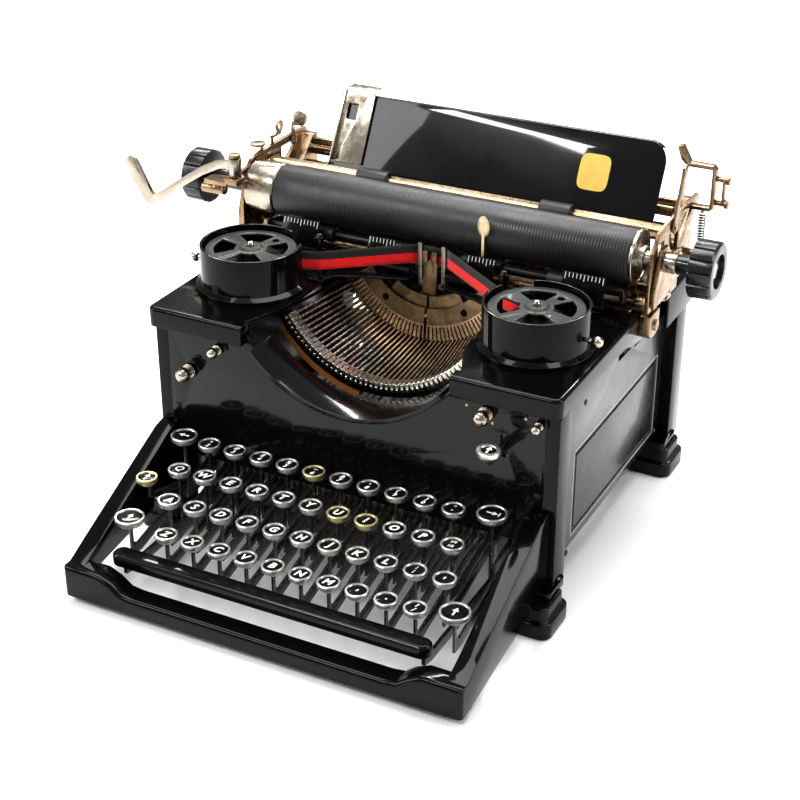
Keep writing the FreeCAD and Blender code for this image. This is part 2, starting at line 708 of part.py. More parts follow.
def segment():
    r_in, r_out = 47.0, SEGMENT_R + 4
    half = BAR_FAN + 4
    plate = arc_wall(0, 0, r_in, r_out, half, -4.5, SEGMENT_BACK)
    hub = arc_wall(0, 0, r_in - 8, r_in + 2, half - 22, -1.5, SEGMENT_BACK)
    body = plate.fuse(hub)
    groove_in = SEGMENT_R - WIRE_R - 0.15
    groove = arc_wall(0, 0, groove_in, r_out + 1, half + 2, -5, WIRE_R + 0.15)
    slots = []
    for angle in bar_angles():
        through = box(-SLOT_W / 2, SLOT_W / 2, -6, SEGMENT_BACK + 1, -r_out - 1, -SEGMENT_R + 7.5)
        front = box(-SLOT_W / 2, SLOT_W / 2, -6, SLOT_DEPTH, -SEGMENT_R + 7.4, -r_in + 10)
        slot = through.fuse(front)
        slot.rotate(V(0, 0, 0), V(0, 1, 0), -angle)
        slots.append(slot)
    body = body.cut([groove] + slots)
    for angle in (-33, 0, 33):
        eye = Part.makeCylinder(2.6, 12, V(0, -6, -54), V(0, 1, 0))
        eye.rotate(V(0, 0, 0), V(0, 1, 0), -angle)
        body = body.cut(eye)
    return body


def pivot_wire():
    ring = Part.makeTorus(SEGMENT_R, WIRE_R, V(0, 0, 0), V(0, 1, 0))
    a = math.radians(BAR_FAN + 5)
    reach = 100
    wedge = Part.Face(Part.makePolygon([V(0, -5, 0), V(-reach * math.sin(a), -5, -reach * math.cos(a)),
                                        V(0, -5, -reach * 1.6),
                                        V(reach * math.sin(a), -5, -reach * math.cos(a)),
                                        V(0, -5, 0)])).extrude(V(0, 10, 0))
    return ring.common(wedge)


def typebar(angle):
    """One typebar at rest: a hook on the pivot wire, a tapering arm and the type head."""
    hook = WIRE_R + 0.25
    outline = [(6.0, -2.6), (4.0, -4.2), (-34, -4.4), (-60, -5.4), (-BAR_LENGTH, -5.0),
               (-BAR_LENGTH, -2.6), (-62, -2.8), (-34, -0.6), (-9, 2.6), (-hook, 3.6),
               (-hook, 0), (hook, 0), (hook, 3.6), (6.0, 2.0)]
    plate = side_profile(outline, -BAR_T / 2, BAR_T / 2).cut(rod((-2, 0, 0), (2, 0, 0), hook))
    slug = side_profile([(-64.5, -4.6), (-73.6, -4.6), (-73.6, 0.5), (-64.5, 0.5)], -1.5, 1.5)
    bar = plate.fuse(slug)
    bar.rotate(V(0, 0, 0), V(1, 0, 0), BAR_DROOP)
    bar.translate(V(0, 0, -SEGMENT_R))
    bar.rotate(V(0, 0, 0), V(0, 1, 0), -angle)
    return bar


WORKING_BAR = 21
add("segment", tilted(segment()))
add("segment", tilted(pivot_wire()))
angles = bar_angles()
add("typebars", *[tilted(typebar(a)) for k, a in enumerate(angles) if k != WORKING_BAR])
add("typebar_h", tilted(typebar(angles[WORKING_BAR])))


def type_rest():
    """The padded arc under the type heads, carried by an arm at each end of the segment."""
    end = BAR_FAN + 3.6
    shapes = [arc_wall(0, 0, REST_R, REST_R + 3.6, end, -71, -60)]
    for angle in (-end, end):
        arm = side_profile([(-4.5, -72), (-12, -72), (-20, -81), (-71, -81), (-71, -85.6),
                            (-4.5, -85.6)], -1, 1)
        arm.rotate(V(0, 0, 0), V(0, 1, 0), -angle)
        shapes.append(arm)
    return fused(shapes)


REST_R = 82.3
add("type_rest", tilted(type_rest()))


def type_guide():
    base = box(-5, 5, 0.5, 2.0, -38.6, -9)
    left = box(-5, -1.6, -2.0, 2.0, -16, -9)
    right = box(1.6, 5, -2.0, 2.0, -16, -9)
    body = base.fuse([left, right]).cut(box(-1.6, 1.6, -3, 3, -15, -8))
    return body.fuse(box(-5, 5, 0.5, 3.2, -38.6, -34))


add("segment", tilted(type_guide()))


# Ribbon carrier that lifts, ribbon, and the guides beside it

RIBBON_Y = 15.4
RIBBON_T = 0.3
RIBBON_Z0 = COVER_TOP + 6.0
RIBBON_H = 13.0
CARRIER_HALF = 10.0
CARRIER_RISE = 8.0
CENTRE_LIFT = 3.0


def ribbon_carrier():
    front = 13.9
    back = 15.0
    hook = RIBBON_Y + RIBBON_T + 0.25
    shapes = [box(-CARRIER_HALF, CARRIER_HALF, front, back, 147, 151)]
    for s in (-1, 1):
        x0, x1 = sorted((s * 7.0, s * CARRIER_HALF))
        shapes.append(box(x0, x1, front, back, 147, 177.6))
        shapes.append(box(x0, x1, front, hook, 176.4, 177.6))
        shapes.append(box(x0, x1, front, hook, 160.2, 161.4))
    return fused(shapes)


add("ribbon_carrier", ribbon_carrier())


def ribbon_run(points, z_at):
    """A thin upright band through plan points, its lower edge at the heights given."""
    shapes = []
    for (a, za), (b, zb) in zip(zip(points, z_at), zip(points[1:], z_at[1:])):
        pa, pb = V(*a, 0), V(*b, 0)
        across = V(-(pb - pa).y, (pb - pa).x, 0).normalize() * (RIBBON_T / 2)
        low = [pa + across + V(0, 0, za), pb + across + V(0, 0, zb),
               pb - across + V(0, 0, zb), pa - across + V(0, 0, za)]
        high = [p + V(0, 0, RIBBON_H) for p in low]
        faces = [face_of(low), face_of(high)]
        for k in range(4):
            n = (k + 1) % 4
            faces.append(face_of([low[k], low[n], high[n], high[k]]))
        shapes.append(Part.Solid(Part.Shell(faces)))
    return shapes


def ribbon_side(side, pack_r):
    """Ribbon from its spool, round the guide post, to the carrier."""
    bend = (side * (POST_AT[0] - 1.0), POST_AT[1] - 2.35)
    r = pack_r + 0.5
    start = (side * (CUP_X - r * 0.45), CUP_Y + r * 0.893)
    end = (side * (CARRIER_HALF + 0.6), RIBBON_Y + RIBBON_T / 2)
    low = RIBBON_Z0 + 0.6
    return ribbon_run([start, bend, end], [low, low, RIBBON_Z0 + CENTRE_LIFT])


for side, name, pack_r in ((-1, "left", PACK_R_LEFT), (1, "right", PACK_R_RIGHT)):
    add("ribbon", *ribbon_side(side, pack_r))
mid_y = RIBBON_Y + RIBBON_T / 2
half_c = CARRIER_HALF + 0.2
add("ribbon_carrier", *ribbon_run([(-half_c, mid_y), (half_c, mid_y)],
                                  [RIBBON_Z0 + CENTRE_LIFT] * 2))


def ribbon_guide(side):
    """A swept black arm from the cup's mouth to the printing point, open in its middle."""
    outline = [(72, -9), (60, -5), (40, 2), (16, 5.5), (13.4, 12.5), (12, 12.5), (12, 3),
               (40, -6), (58, -14), (60, -26), (70, -26)]
    plan = [(side * x, y) for x, y in outline]
    return top_profile(plan, COVER_TOP, COVER_TOP + 1.6)


add("ribbon_guides", ribbon_guide(-1).fuse(guide_post(-1)))
add("ribbon_guides", ribbon_guide(1).fuse(guide_post(1)))


# Line scales in front of the platen, on a bar across the machine

def scale_plate(x0, x1, y0, z0, z1):
    lean = 0.42
    top_y = y0 + (z1 - z0) * lean
    return side_profile([(y0, z0), (y0 + 1.2, z0), (top_y + 1.2, z1), (top_y, z1)], x0, x1)


SCALE_BAR_Y = 6.4
SCALE_BAR_Z = 158.0
scales = [scale_plate(x0, x1, 7.6, 161.2, 178) for x0, x1 in ((-112, -84), (92, 121))]
scales += [scale_plate(x0, x1, 7.6, 161.2, 176) for x0, x1 in ((-46, -26), (26, 46))]
add("line_scales", *scales)
scale_bar = [box(s0, s1, SCALE_BAR_Y, SCALE_BAR_Y + 5, SCALE_BAR_Z, SCALE_BAR_Z + 3.2)
             for s0, s1 in ((-122, -13), (13, 122))]
scale_feet = [box(x - 4, x + 4, SCALE_BAR_Y - 0.4, SCALE_BAR_Y + 5, COVER_TOP, SCALE_BAR_Z)
              for x in (-116, -80, 80, 116)]
add("line_scales", fused([scale_bar[0]] + [f for f in scale_feet if f.BoundBox.XMax < 0]),
     fused([scale_bar[1]] + [f for f in scale_feet if f.BoundBox.XMin > 0]))


# Carriage rails on the machine, with end brackets outside the cover

def fixed_rail(y, half):
    rail = box(-half, half, y - RAIL_W / 2, y + RAIL_W / 2, RAIL_TOP - RAIL_H, RAIL_TOP)
    for s in (-1, 1):
        cut = rod((-half - 1, y + s * RAIL_W / 2, RAIL_TOP - 2.4), (half + 1, y + s * RAIL_W / 2, RAIL_TOP - 2.4), 1.1)
        rail = rail.cut(cut)
    return rail


add("carriage_rails", fixed_rail(FRONT_RAIL_Y, COVER_X - 9),
     *[box(x - 6, x + 6, FRONT_RAIL_Y - 4, FRONT_RAIL_Y + 4, 148, RAIL_TOP - RAIL_H)
       for x in (-110, 0, 110)])
add("carriage_rails", fixed_rail(REAR_RAIL_Y, COVER_X + 4),
     *[box(x - 6, x + 6, REAR_RAIL_Y - 4, REAR_RAIL_Y + 4, 148, RAIL_TOP - RAIL_H)
       for x in (-110, 0, 110)])


def end_bracket(side):
    y = FRONT_RAIL_Y
    outline = [(y - 5, 138), (y + 5, 138), (y + 9, 142), (y + 9, RAIL_TOP), (y - 9, RAIL_TOP),
               (y - 9, 142)]
    plate = side_profile(outline, COVER_X + 0.1, COVER_X + 7)
    plate = plate.fuse(rod((COVER_X + 6, y, 146), (COVER_X + 9, y, 146), 3.6))
    return plate if side > 0 else mirrored(plate)


add("carriage_rails", end_bracket(-1), end_bracket(1))


# Carriage truck that slides on the rails, with the escapement rack

TRUCK_Z0 = RAIL_TOP + RUN_GAP
TRUCK_Z1 = 158.4
TRUCK_X = 145.7


def rack_tooth(x):
    """One tooth of the rack, pointing down, with its pitch line a radius above the pinion."""
    pitch_line = PINION_Z + PINION_R
    return front_profile([(x - 0.85, pitch_line + 1.2), (x - 0.25, pitch_line - 0.7),
                          (x + 0.25, pitch_line - 0.7), (x + 0.85, pitch_line + 1.2)],
                         RACK_Y, RACK_Y + 3)


PINION_R = RACK_PITCH * PINION_TEETH / (2 * math.pi)
RACK_Y = 72.0


def carriage_truck():
    shapes = []
    for y in (FRONT_RAIL_Y, REAR_RAIL_Y):
        shapes.append(box(-TRUCK_X, TRUCK_X, y - RAIL_W / 2, y + RAIL_W / 2, TRUCK_Z0, TRUCK_Z1))
    for s in (-1, 1):
        x0, x1 = sorted((s * (TRUCK_X - 12), s * TRUCK_X))
        shapes.append(box(x0, x1, FRONT_RAIL_Y - 4, REAR_RAIL_Y + 4, TRUCK_Z0, TRUCK_Z1 + 1.6))
    return fused(shapes)


def escapement_rack():
    length = RACK_TEETH * RACK_PITCH / 2
    pitch_line = PINION_Z + PINION_R
    bar = box(-length - 3, length + 3, RACK_Y, RACK_Y + 3, pitch_line + 1.1, TRUCK_Z1)
    teeth = [rack_tooth((k + 0.5 - RACK_TEETH / 2) * RACK_PITCH) for k in range(RACK_TEETH)]
    arms = [box(x - 5, x + 5, REAR_RAIL_Y + 4, RACK_Y + 3, TRUCK_Z1 - 3, TRUCK_Z1) for x in (-100, 0, 100)]
    return bar.fuse(teeth + arms)


add("carriage_truck", carriage_truck())
add("carriage_truck", escapement_rack())


# Escapement: pinion and wheel on one arbor

def toothed_wheel(count, r_root, r_tip, root_half, tip_half, y0, y1, lean=0.0, turn=0.0):
    """A wheel in the XZ plane. The tooth halves are angles in degrees."""
    points = []
    for k in range(count):
        mid = turn + 360.0 * k / count
        for r, offset in ((r_root, -root_half), (r_tip, lean - tip_half), (r_tip, lean + tip_half),
                          (r_root, root_half)):
            a = math.radians(mid + offset)
            points.append((r * math.sin(a), r * math.cos(a)))
    return front_profile(points, y0, y1)


ESCAPE_Y = 76.6


def escapement_wheels():
    half_tooth = 180.0 / PINION_TEETH
    pinion = toothed_wheel(PINION_TEETH, PINION_R - 1.1, PINION_R + 0.7, half_tooth * 0.62,
                           half_tooth * 0.25, RACK_Y - 0.5, RACK_Y + 3.5, turn=0.0)
    pinion.translate(V(0, 0, PINION_Z))
    wheel = toothed_wheel(18, 9.0, 12.0, 5.5, 1.4, ESCAPE_Y, ESCAPE_Y + 2, lean=4.5)
    wheel.translate(V(0, 0, PINION_Z))
    arbor = rod((0, REAR_RAIL_Y - 3.5, PINION_Z), (0, ESCAPE_Y + 2.6, PINION_Z), ARBOR_R)
    return pinion.fuse([wheel, arbor])


add("escape_wheel", escapement_wheels())


# Carriage ends: a pierced plate at each end and the diagonal arm that carries the paper table

SHIFT_RISE = 6.5
END_INNER_X = TRUCK_X
END_OUTER_X = TRUCK_X + END_PLATE_T
ARM_BAR_Y = 42.0


def end_plate(side):
    outline = [(17.5, 158), (17.5, 178), (21, 197), (31, 207), (43, 209), (104, 209), (108, 205),
               (86, 190), (72, 178), (72, 155.5), (60, 155.5), (60, 158)]
    plate = side_profile(outline, END_INNER_X, END_OUTER_X)
    x0, x1 = END_INNER_X - 1, END_OUTER_X + 1
    slot_half = SHAFT_R + 0.5
    slot = box(x0, x1, PLATEN_Y - slot_half, PLATEN_Y + slot_half, PLATEN_Z - slot_half,
               PLATEN_Z + SHIFT_RISE + slot_half)
    window = box(x0, x1, ARM_BAR_Y - 0.6, ARM_BAR_Y + 4.6, 160, 167 + SHIFT_RISE)
    # this opening also lets the bail's pin rise with the platen
    pin_half = BAIL_PIN_R + 0.5
    light = box(x0, x1, 48, BAIL_PIVOT[0] + pin_half, BAIL_PIVOT[1] - pin_half, 200)
    upper = side_profile([(70, 187), (94, 204), (70, 204)], x0, x1)
    plate = plate.cut([slot, window, light, upper])
    if side > 0:
        return plate.fuse(rod((END_OUTER_X, *RELEASE_PIVOT), (END_OUTER_X + 3, *RELEASE_PIVOT), 2.2))
    tab_pin = rod((-END_INNER_X, *TAB_PIVOT), (-END_INNER_X + 2.6, *TAB_PIVOT), 1.6)
    return mirrored(plate).fuse(tab_pin)


LEVER_PIVOT = (-144.0, 6.5)
LEVER_PIN_R = 2.0
RELEASE_PIVOT = (54.0, 203.0)
TAB_PIVOT = (85.0, 203.0)
BAIL_PIVOT = (64.5, 181.0)
BAIL_PIN_R = 2.0


def lever_bracket():
    """The shelf in front of the left end, and the return lever's upright pin screwed on it."""
    shelf = top_profile([(-END_OUTER_X, 26), (-END_INNER_X, 26), (-END_INNER_X, 16), (-138.5, 9),
                         (-138.5, -1), (-END_OUTER_X, -1)], 199, 203)
    shelf = shelf.cut(end_plate(-1))
    wing = box(-166, -END_OUTER_X, 1, 12, 196.4, 199.6)
    px, py = LEVER_PIVOT
    pin = turned([(0, 203), (LEVER_PIN_R, 203), (LEVER_PIN_R, 216.4), (4, 216.4), (4, 218.8),
                  (0, 218.8)], (px, py, 0))
    return shelf.fuse(wing), pin


FEED_R = 5.5
FEED_SHAFT_R = 2.2
FEED_Y = 25.6
FEED_Z = 166.2
add("end_plates", end_plate(1))
add("end_plates", end_plate(-1))


# Shift frame: the arms that carry the platen, joined by a bar, moving straight up

ARM_IN = END_OUTER_X + 0.6
ARM_OUT = ARM_IN + 2.4


def shift_frame():
    shapes = [box(-ARM_OUT, ARM_OUT, ARM_BAR_Y, ARM_BAR_Y + 4, 161, 166)]
    for s in (-1, 1):
        x0, x1 = sorted((s * ARM_IN, s * ARM_OUT))
        ear_y, ear_z = BAIL_PIVOT
        shapes.append(side_profile([(19, 161), (ARM_BAR_Y + 4, 161), (ARM_BAR_Y + 4, 174),
                                    (ear_y, ear_z - 5), (ear_y + 4.5, ear_z - 2),
                                    (ear_y + 4.5, ear_z + 2), (ear_y, ear_z + 5),
                                    (ARM_BAR_Y + 4, 189), (40, 197), (28, 197), (24, 186),
                                    (19, 172)], x0, x1))
        fx0, fx1 = sorted((s * 128, s * 131))
        shapes.append(side_profile([(ARM_BAR_Y, 166), (ARM_BAR_Y, 161), (19.6, 161),
                                    (19.6, 170), (30, 170)], fx0, fx1))
    frame = fused(shapes)
    bore = rod((-ARM_OUT - 1, PLATEN_Y, PLATEN_Z), (ARM_OUT + 1, PLATEN_Y, PLATEN_Z),
               SHAFT_R + SHAFT_FIT)
    feed = rod((-132, FEED_Y, FEED_Z), (132, FEED_Y, FEED_Z), FEED_SHAFT_R + SHAFT_FIT)
    bail = rod((-ARM_OUT - 1, *BAIL_PIVOT), (ARM_OUT + 1, *BAIL_PIVOT), BAIL_PIN_R + SHAFT_FIT)
    return frame.cut([bore, feed, bail])


add("shift_frame", shift_frame())


def feed_rollers():
    shaft = rod((-134, FEED_Y, FEED_Z), (134, FEED_Y, FEED_Z), FEED_SHAFT_R)
    rollers = [pipe((x - 14, FEED_Y, FEED_Z), (x + 14, FEED_Y, FEED_Z), FEED_R, FEED_SHAFT_R)
               for x in (-92, -32, 32, 92)]
    return shaft, rollers


feed_shaft, feed_rubbers = feed_rollers()
add("feed_rollers", feed_shaft)
add("feed_rollers", *feed_rubbers)


# Platen, its metal ends, shaft and ribbed knobs

BAND_R = PLATEN_R + 0.5
add("platen", pipe((PLATEN_X0, PLATEN_Y, PLATEN_Z), (PLATEN_X1, PLATEN_Y, PLATEN_Z), PLATEN_R,
                    SHAFT_R))


def platen_ends():
    left = turned([(SHAFT_R, 0), (BAND_R, 0), (BAND_R, 21), (BAND_R - 1, 22), (SHAFT_R, 22)],
                  (PLATEN_X0 - 22.2, PLATEN_Y, PLATEN_Z), V(1, 0, 0))
    right = turned([(SHAFT_R, 0), (BAND_R, 0), (BAND_R, 2.4), (BAND_R - 2.4, 2.4),
                    (BAND_R - 2.4, 1.2), (SHAFT_R + 3, 1.2), (SHAFT_R + 3, 6), (SHAFT_R, 6)],
                   (PLATEN_X1 + 0.2, PLATEN_Y, PLATEN_Z), V(1, 0, 0))
    return left, right


KNOB_R = 18.5
KNOB_W = 15.0
KNOB_RIBS = 14
KNOB_LEFT_X = -181.0
KNOB_RIGHT_X = 171.0
add("platen_fittings", *platen_ends())
add("platen_fittings", rod((KNOB_LEFT_X - KNOB_W + 2, PLATEN_Y, PLATEN_Z),
                         (KNOB_RIGHT_X + KNOB_W - 2, PLATEN_Y, PLATEN_Z), SHAFT_R))
add("platen_fittings",
     pipe((KNOB_LEFT_X, PLATEN_Y, PLATEN_Z), (-ARM_OUT - 0.4, PLATEN_Y, PLATEN_Z), 6.4, SHAFT_R),
     pipe((ARM_OUT + 0.4, PLATEN_Y, PLATEN_Z), (ARM_OUT + 8.6, PLATEN_Y, PLATEN_Z), 6.6, SHAFT_R),
     pipe((ARM_OUT + 9, PLATEN_Y, PLATEN_Z), (KNOB_RIGHT_X, PLATEN_Y, PLATEN_Z), 6.4, SHAFT_R))


def knob():
    """A ribbed knob along +X from the origin, hollowed on its outer face."""
    body = turned([(SHAFT_R, 0), (KNOB_R, 0), (KNOB_R, KNOB_W - 1.5), (KNOB_R - 1.5, KNOB_W),
                   (11, KNOB_W), (11, KNOB_W - 3), (SHAFT_R, KNOB_W - 3)], (0, 0, 0), V(1, 0, 0))
    flutes = []
    for k in range(KNOB_RIBS):
        flute = side_profile([(-1.6, KNOB_R + 1), (0, KNOB_R - 1.4), (1.6, KNOB_R + 1)], -1,
                             KNOB_W + 1)
        flute.rotate(V(0, 0, 0), V(1, 0, 0), 360 / KNOB_RIBS * k)
        flutes.append(flute)
    return body.cut(flutes)


right_knob = knob()
left_knob = right_knob.mirror(V(0, 0, 0), V(1, 0, 0))
right_knob.translate(V(KNOB_RIGHT_X, PLATEN_Y, PLATEN_Z))
left_knob.translate(V(KNOB_LEFT_X, PLATEN_Y, PLATEN_Z))
add("platen_fittings", right_knob, left_knob)


# Paper trough round the back of the platen

def trough():
    r_in, r_out = PLATEN_R + 1.2, PLATEN_R + 2.0
    def at(r, degrees):
        a = math.radians(degrees)
        return V(PLATEN_X0 + 4, PLATEN_Y + r * math.sin(a), PLATEN_Z - r * math.cos(a))
    outer = Part.Arc(at(r_out, 8), at(r_out, 50), at(r_out, 92)).toShape()
    inner = Part.Arc(at(r_in, 92), at(r_in, 50), at(r_in, 8)).toShape()
    wire = Part.Wire([outer, Part.makeLine(at(r_out, 92), at(r_in, 92)), inner,
                      Part.makeLine(at(r_in, 8), at(r_out, 8))])
    length = PLATEN_X1 - PLATEN_X0 - 8
    return Part.Face(wire).extrude(V(length, 0, 0))


add("shift_frame", trough())


# Paper table with its side guide

TABLE_X0 = -110.0
TABLE_X1 = 129.0
TABLE_LOW = (74.0, 198.5)
TABLE_SLOPE = (PAPER_TOP_Y - TABLE_LOW[0]) / (PAPER_TOP_Z - TABLE_LOW[1])
TABLE_T = 1.6


def table_y(z):
    return TABLE_LOW[0] + (z - TABLE_LOW[1]) * TABLE_SLOPE


def paper_table():
    z0, z1 = TABLE_LOW[1], PAPER_TOP_Z
    top = side_profile([(table_y(z0), z0), (table_y(z0) + TABLE_T, z0), (table_y(z1) + TABLE_T, z1),
                        (table_y(z1) + 3.4, z1 - 3), (table_y(z1) + 4.6, z1 - 3),
                        (table_y(z1) + 3.6, z1 + 1.6), (table_y(z1) + 0.6, z1 + 1.6)],
                       TABLE_X0, TABLE_X1)
    lip = side_profile([(table_y(z0), z0), (table_y(z0) + TABLE_T, z0), (71.6, 190), (70, 190)],
                       TABLE_X0, TABLE_X1)
    table = top.fuse(lip).removeSplitter()
    corner = box(TABLE_X1 - 14, TABLE_X1 + 1, 60, 110, z1 - 12, z1 + 4)
    round_off = rod((TABLE_X1 - 14, 59, z1 - 12), (TABLE_X1 - 14, 111, z1 - 12), 14)
    return table.cut(corner.cut(round_off))


def table_brackets():
    shapes = []
    for x in (TABLE_X0 + 6, TABLE_X1 - 8):
        outline = [(70.3, TRUCK_Z1), (76, TRUCK_Z1), (table_y(200) + TABLE_T + 5, 200),
                   (table_y(226) + TABLE_T, 226), (table_y(200) + TABLE_T, 200),
                   (71.8, 190)]
        shapes.append(side_profile(outline, x, x + 2))
    return shapes


add("paper_table", paper_table())
GUIDE_T = 1.2


def side_guide():
    """A nickel plate that lies on the paper table and hooks over its top edge."""
    gap = 0.35
    z0, z1 = 199.5, PAPER_TOP_Z + 4.5
    plate = side_profile([(table_y(z0) - gap - GUIDE_T, z0), (table_y(z0) - gap, z0),
                          (table_y(z1) - gap, z1), (table_y(z1) + 7, z1),
                          (table_y(z1) + 7, z1 + GUIDE_T), (table_y(z1) - gap - GUIDE_T, z1 + GUIDE_T)],
                         -106, -84)
    window = box(-103, -95, 60, 110, 226, 236)
    fence = side_profile([(table_y(z0) - 5, z0 + 2), (table_y(z0) - gap, z0),
                          (table_y(z1) - gap, z1), (table_y(z1) - 4, z1)], -107.4, -106)
    return plate.cut(window).fuse(fence)


add("side_guide", side_guide())


# Racks behind the paper table with the two margin stops

RACK_X = 136.0
MARGIN_Y = 88.0
MARGIN_Z = 178.0


def toothed_bar(y0, y1, z0, z1, pitch, depth):
    count = int((2 * RACK_X - 24) / pitch)
    points = [(-RACK_X, z0), (RACK_X, z0), (RACK_X, z1)]
    for k in range(count):
        x = RACK_X - 12 - k * pitch
        points += [(x, z1), (x - pitch * 0.2, z1 - depth), (x - pitch * 0.6, z1 - depth),
                   (x - pitch * 0.8, z1)]
    points.append((-RACK_X, z1))
    return front_profile(points, y0, y1)


def rack_ends():
    shapes = []
    for s in (-1, 1):
        x0, x1 = sorted((s * RACK_X, s * END_INNER_X))
        shapes.append(side_profile([(70.3, 155.5), (72.4, 155.5), (104, 172), (104, 206), (98, 206),
                                    (78, 186), (70.3, 186)], x0, x1))
    return shapes


add("carriage_truck", toothed_bar(MARGIN_Y, MARGIN_Y + 3, MARGIN_Z, MARGIN_Z + 12, 5.08, 2.4))
add("carriage_truck", toothed_bar(97, 100, 192, 204, 5.08, 4.0))
add("carriage_truck", rod((-RACK_X, 92.5, 199), (RACK_X, 92.5, 199), 2.2))
add("carriage_truck", *rack_ends())
add("paper_table", *table_brackets())


def margin_stop(x):
    gap = RUN_GAP
    block = box(x - 7, x + 7, MARGIN_Y - 3, MARGIN_Y + 6, MARGIN_Z - 4, MARGIN_Z + 15)
    channel = box(x - 8, x + 8, MARGIN_Y - gap, MARGIN_Y + 3 + gap, MARGIN_Z - gap,
                  MARGIN_Z + 12 + gap)
    tail = box(x - 2, x + 2, MARGIN_Y + 6, MARGIN_Y + 15, MARGIN_Z - 4, MARGIN_Z + 2)
    return block.cut(channel).fuse(tail)


add("margin_stop_left", margin_stop(-70))
add("margin_stop_right", margin_stop(70))


# Paper bail: a scale bar with two rubber rollers on swinging arms

BAIL_Y = 56.0
BAIL_Z = 198.55
BAIL_ROD_R = 2.0
BAIL_ROLLER_R = 6.5
BAIL_ROLLERS = ((-76.0, -53.0), (58.0, 80.0))


def paper_bail():
    end = END_INNER_X - 2.6
    shapes = [rod((-end, BAIL_Y, BAIL_Z), (end, BAIL_Y, BAIL_Z), BAIL_ROD_R)]
    spans = [-end, *[x for pair in BAIL_ROLLERS for x in pair], end]
    for x0, x1 in zip(spans[::2], spans[1::2]):
        shapes.append(side_profile([(BAIL_Y - 3.4, BAIL_Z - 3.2), (BAIL_Y - 2.2, BAIL_Z - 3.8),
                                    (BAIL_Y + 3.2, BAIL_Z + 2.6), (BAIL_Y + 1.8, BAIL_Z + 3.4)],
                                   x0 + 0.8, x1 - 0.8))
    py, pz = BAIL_PIVOT
    for s in (-1, 1):
        x0, x1 = sorted((s * end, s * (end + 1.6)))
        arm = side_profile([(BAIL_Y - 4, BAIL_Z + 3.5), (BAIL_Y - 4, BAIL_Z - 3.5),
                            (py - 5, pz), (py, pz - 4), (py + 4, pz), (BAIL_Y + 4, BAIL_Z + 3.5)],
                           x0, x1)
        pin = rod((s * end, py, pz), (s * (ARM_OUT + 1), py, pz), BAIL_PIN_R)
        shapes += [arm, pin]
    return fused(shapes)


add("paper_bail", paper_bail())
for name, (x0, x1) in zip(("left", "right"), BAIL_ROLLERS):
    add("bail_rollers", pipe((x0, BAIL_Y, BAIL_Z), (x1, BAIL_Y, BAIL_Z), BAIL_ROLLER_R,
                                     BAIL_ROD_R + SHAFT_FIT))


# Return lever, its link block, and the finger pieces of the left end

def return_lever():
    outline = [(-231, 203.5), (-234.5, 199), (-231, 191), (-223.5, 180), (-219, 172.5),
               (-213.5, 170.5), (-208, 173.5), (-191.7, 185.5), (-170, 199.9), (-156, 207),
               (-147, 208.6), (-147, 214.4), (-160, 211.5), (-171, 205.9), (-192, 191.8),
               (-207, 181), (-212, 178.7), (-214.5, 182), (-219.5, 192), (-224, 201),
               (-227.5, 204.5)]
    px, py = LEVER_PIVOT
    strap = front_profile(outline, py - 1.5, py + 1.5)
    hub = Part.makeCylinder(4.6, 12.4, V(px, py, 203.6))
    bore = Part.makeCylinder(LEVER_PIN_R + SHAFT_FIT, 20, V(px, py, 200))
    return strap.fuse(hub).cut(bore)


def link_block():
    """The line-space link under the shelf: a rounded nickel bar on a bronze post."""
    bar = turned([(0, 0), (2.4, 0), (3.4, 1), (3.4, 18), (2.4, 19), (0, 19)], (-171, 6.5, 191.6),
                 V(1, 0, 0))
    post = turned([(0, 194), (5, 194), (3.8, 196.4), (0, 196.4)], (-158, 6.5, 0))
    return bar, post.cut(bar)


add("return_lever", return_lever())
link_bar, link_post = link_block()
add("end_fittings", link_bar)
add("end_fittings", link_post)
add("end_fittings", *lever_bracket())


def carriage_release():
    """A finger tab on a short arm inside the left end plate."""
    py, pz = TAB_PIVOT
    x0, x1 = -END_INNER_X + 0.3, -END_INNER_X + 1.8
    arm = side_profile([(py - 3.4, pz), (py, pz - 3.4), (py + 3.4, pz), (py + 2, pz + 16),
                        (py - 1, pz + 16)], x0, x1)
    tab = rod((-138.5, py - 1, pz + 18.5), (-138.5, py + 0.6, pz + 18.5), 5.4)
    link = box(x0, -139, py - 1, py + 0.6, pz + 13, pz + 16)
    bore = rod((x0 - 1, py, pz), (x1 + 1, py, pz), 1.6 + SHAFT_FIT)
    return arm.fuse([tab, link]).cut(bore)


add("carriage_release", carriage_release())


def left_fittings():
    """An eye on a bent wire, and an oval thumb tab, on top of the left end plate."""
    x = -(END_INNER_X + END_OUTER_X) / 2
    wire = rod((x, 60, 209), (x, 60, 214), 1.0)
    across = box(x - 1, x + 1, 59, 71, 213.4, 215.2)
    eye = pipe((x - 0.9, 70, 219), (x + 0.9, 70, 219), 4.1, 2.3)
    thumb = Part.makeCylinder(5.2, 1.6, V(x - 3, 46, 212))
    stem = rod((x, 46, 209), (x, 46, 212.4), 1.2)
    return wire.fuse([across, eye]), thumb.fuse(stem)


add("end_fittings", *left_fittings())


# Right end: paper release, the bent finger piece with its studs, and the long spring

def paper_release():
    py, pz = RELEASE_PIVOT
    x0, x1 = END_OUTER_X + 0.4, END_OUTER_X + 2.0
    lean = 13.0
    arm = side_profile([(py - 4, pz), (py, pz - 4), (py + 4, pz), (py + lean + 4.5, pz + 32),
                        (py + lean + 3.5, pz + 36), (py + lean, pz + 38), (py + lean - 3.5, pz + 36),
                        (py + lean - 4.5, pz + 32)], x0, x1)
    bore = rod((x0 - 1, py, pz), (x1 + 1, py, pz), 2.2 + SHAFT_FIT)
    return arm.cut(bore)


add("paper_release", paper_release())

FINGER_Y = 90.0
FINGER_X = 161.0


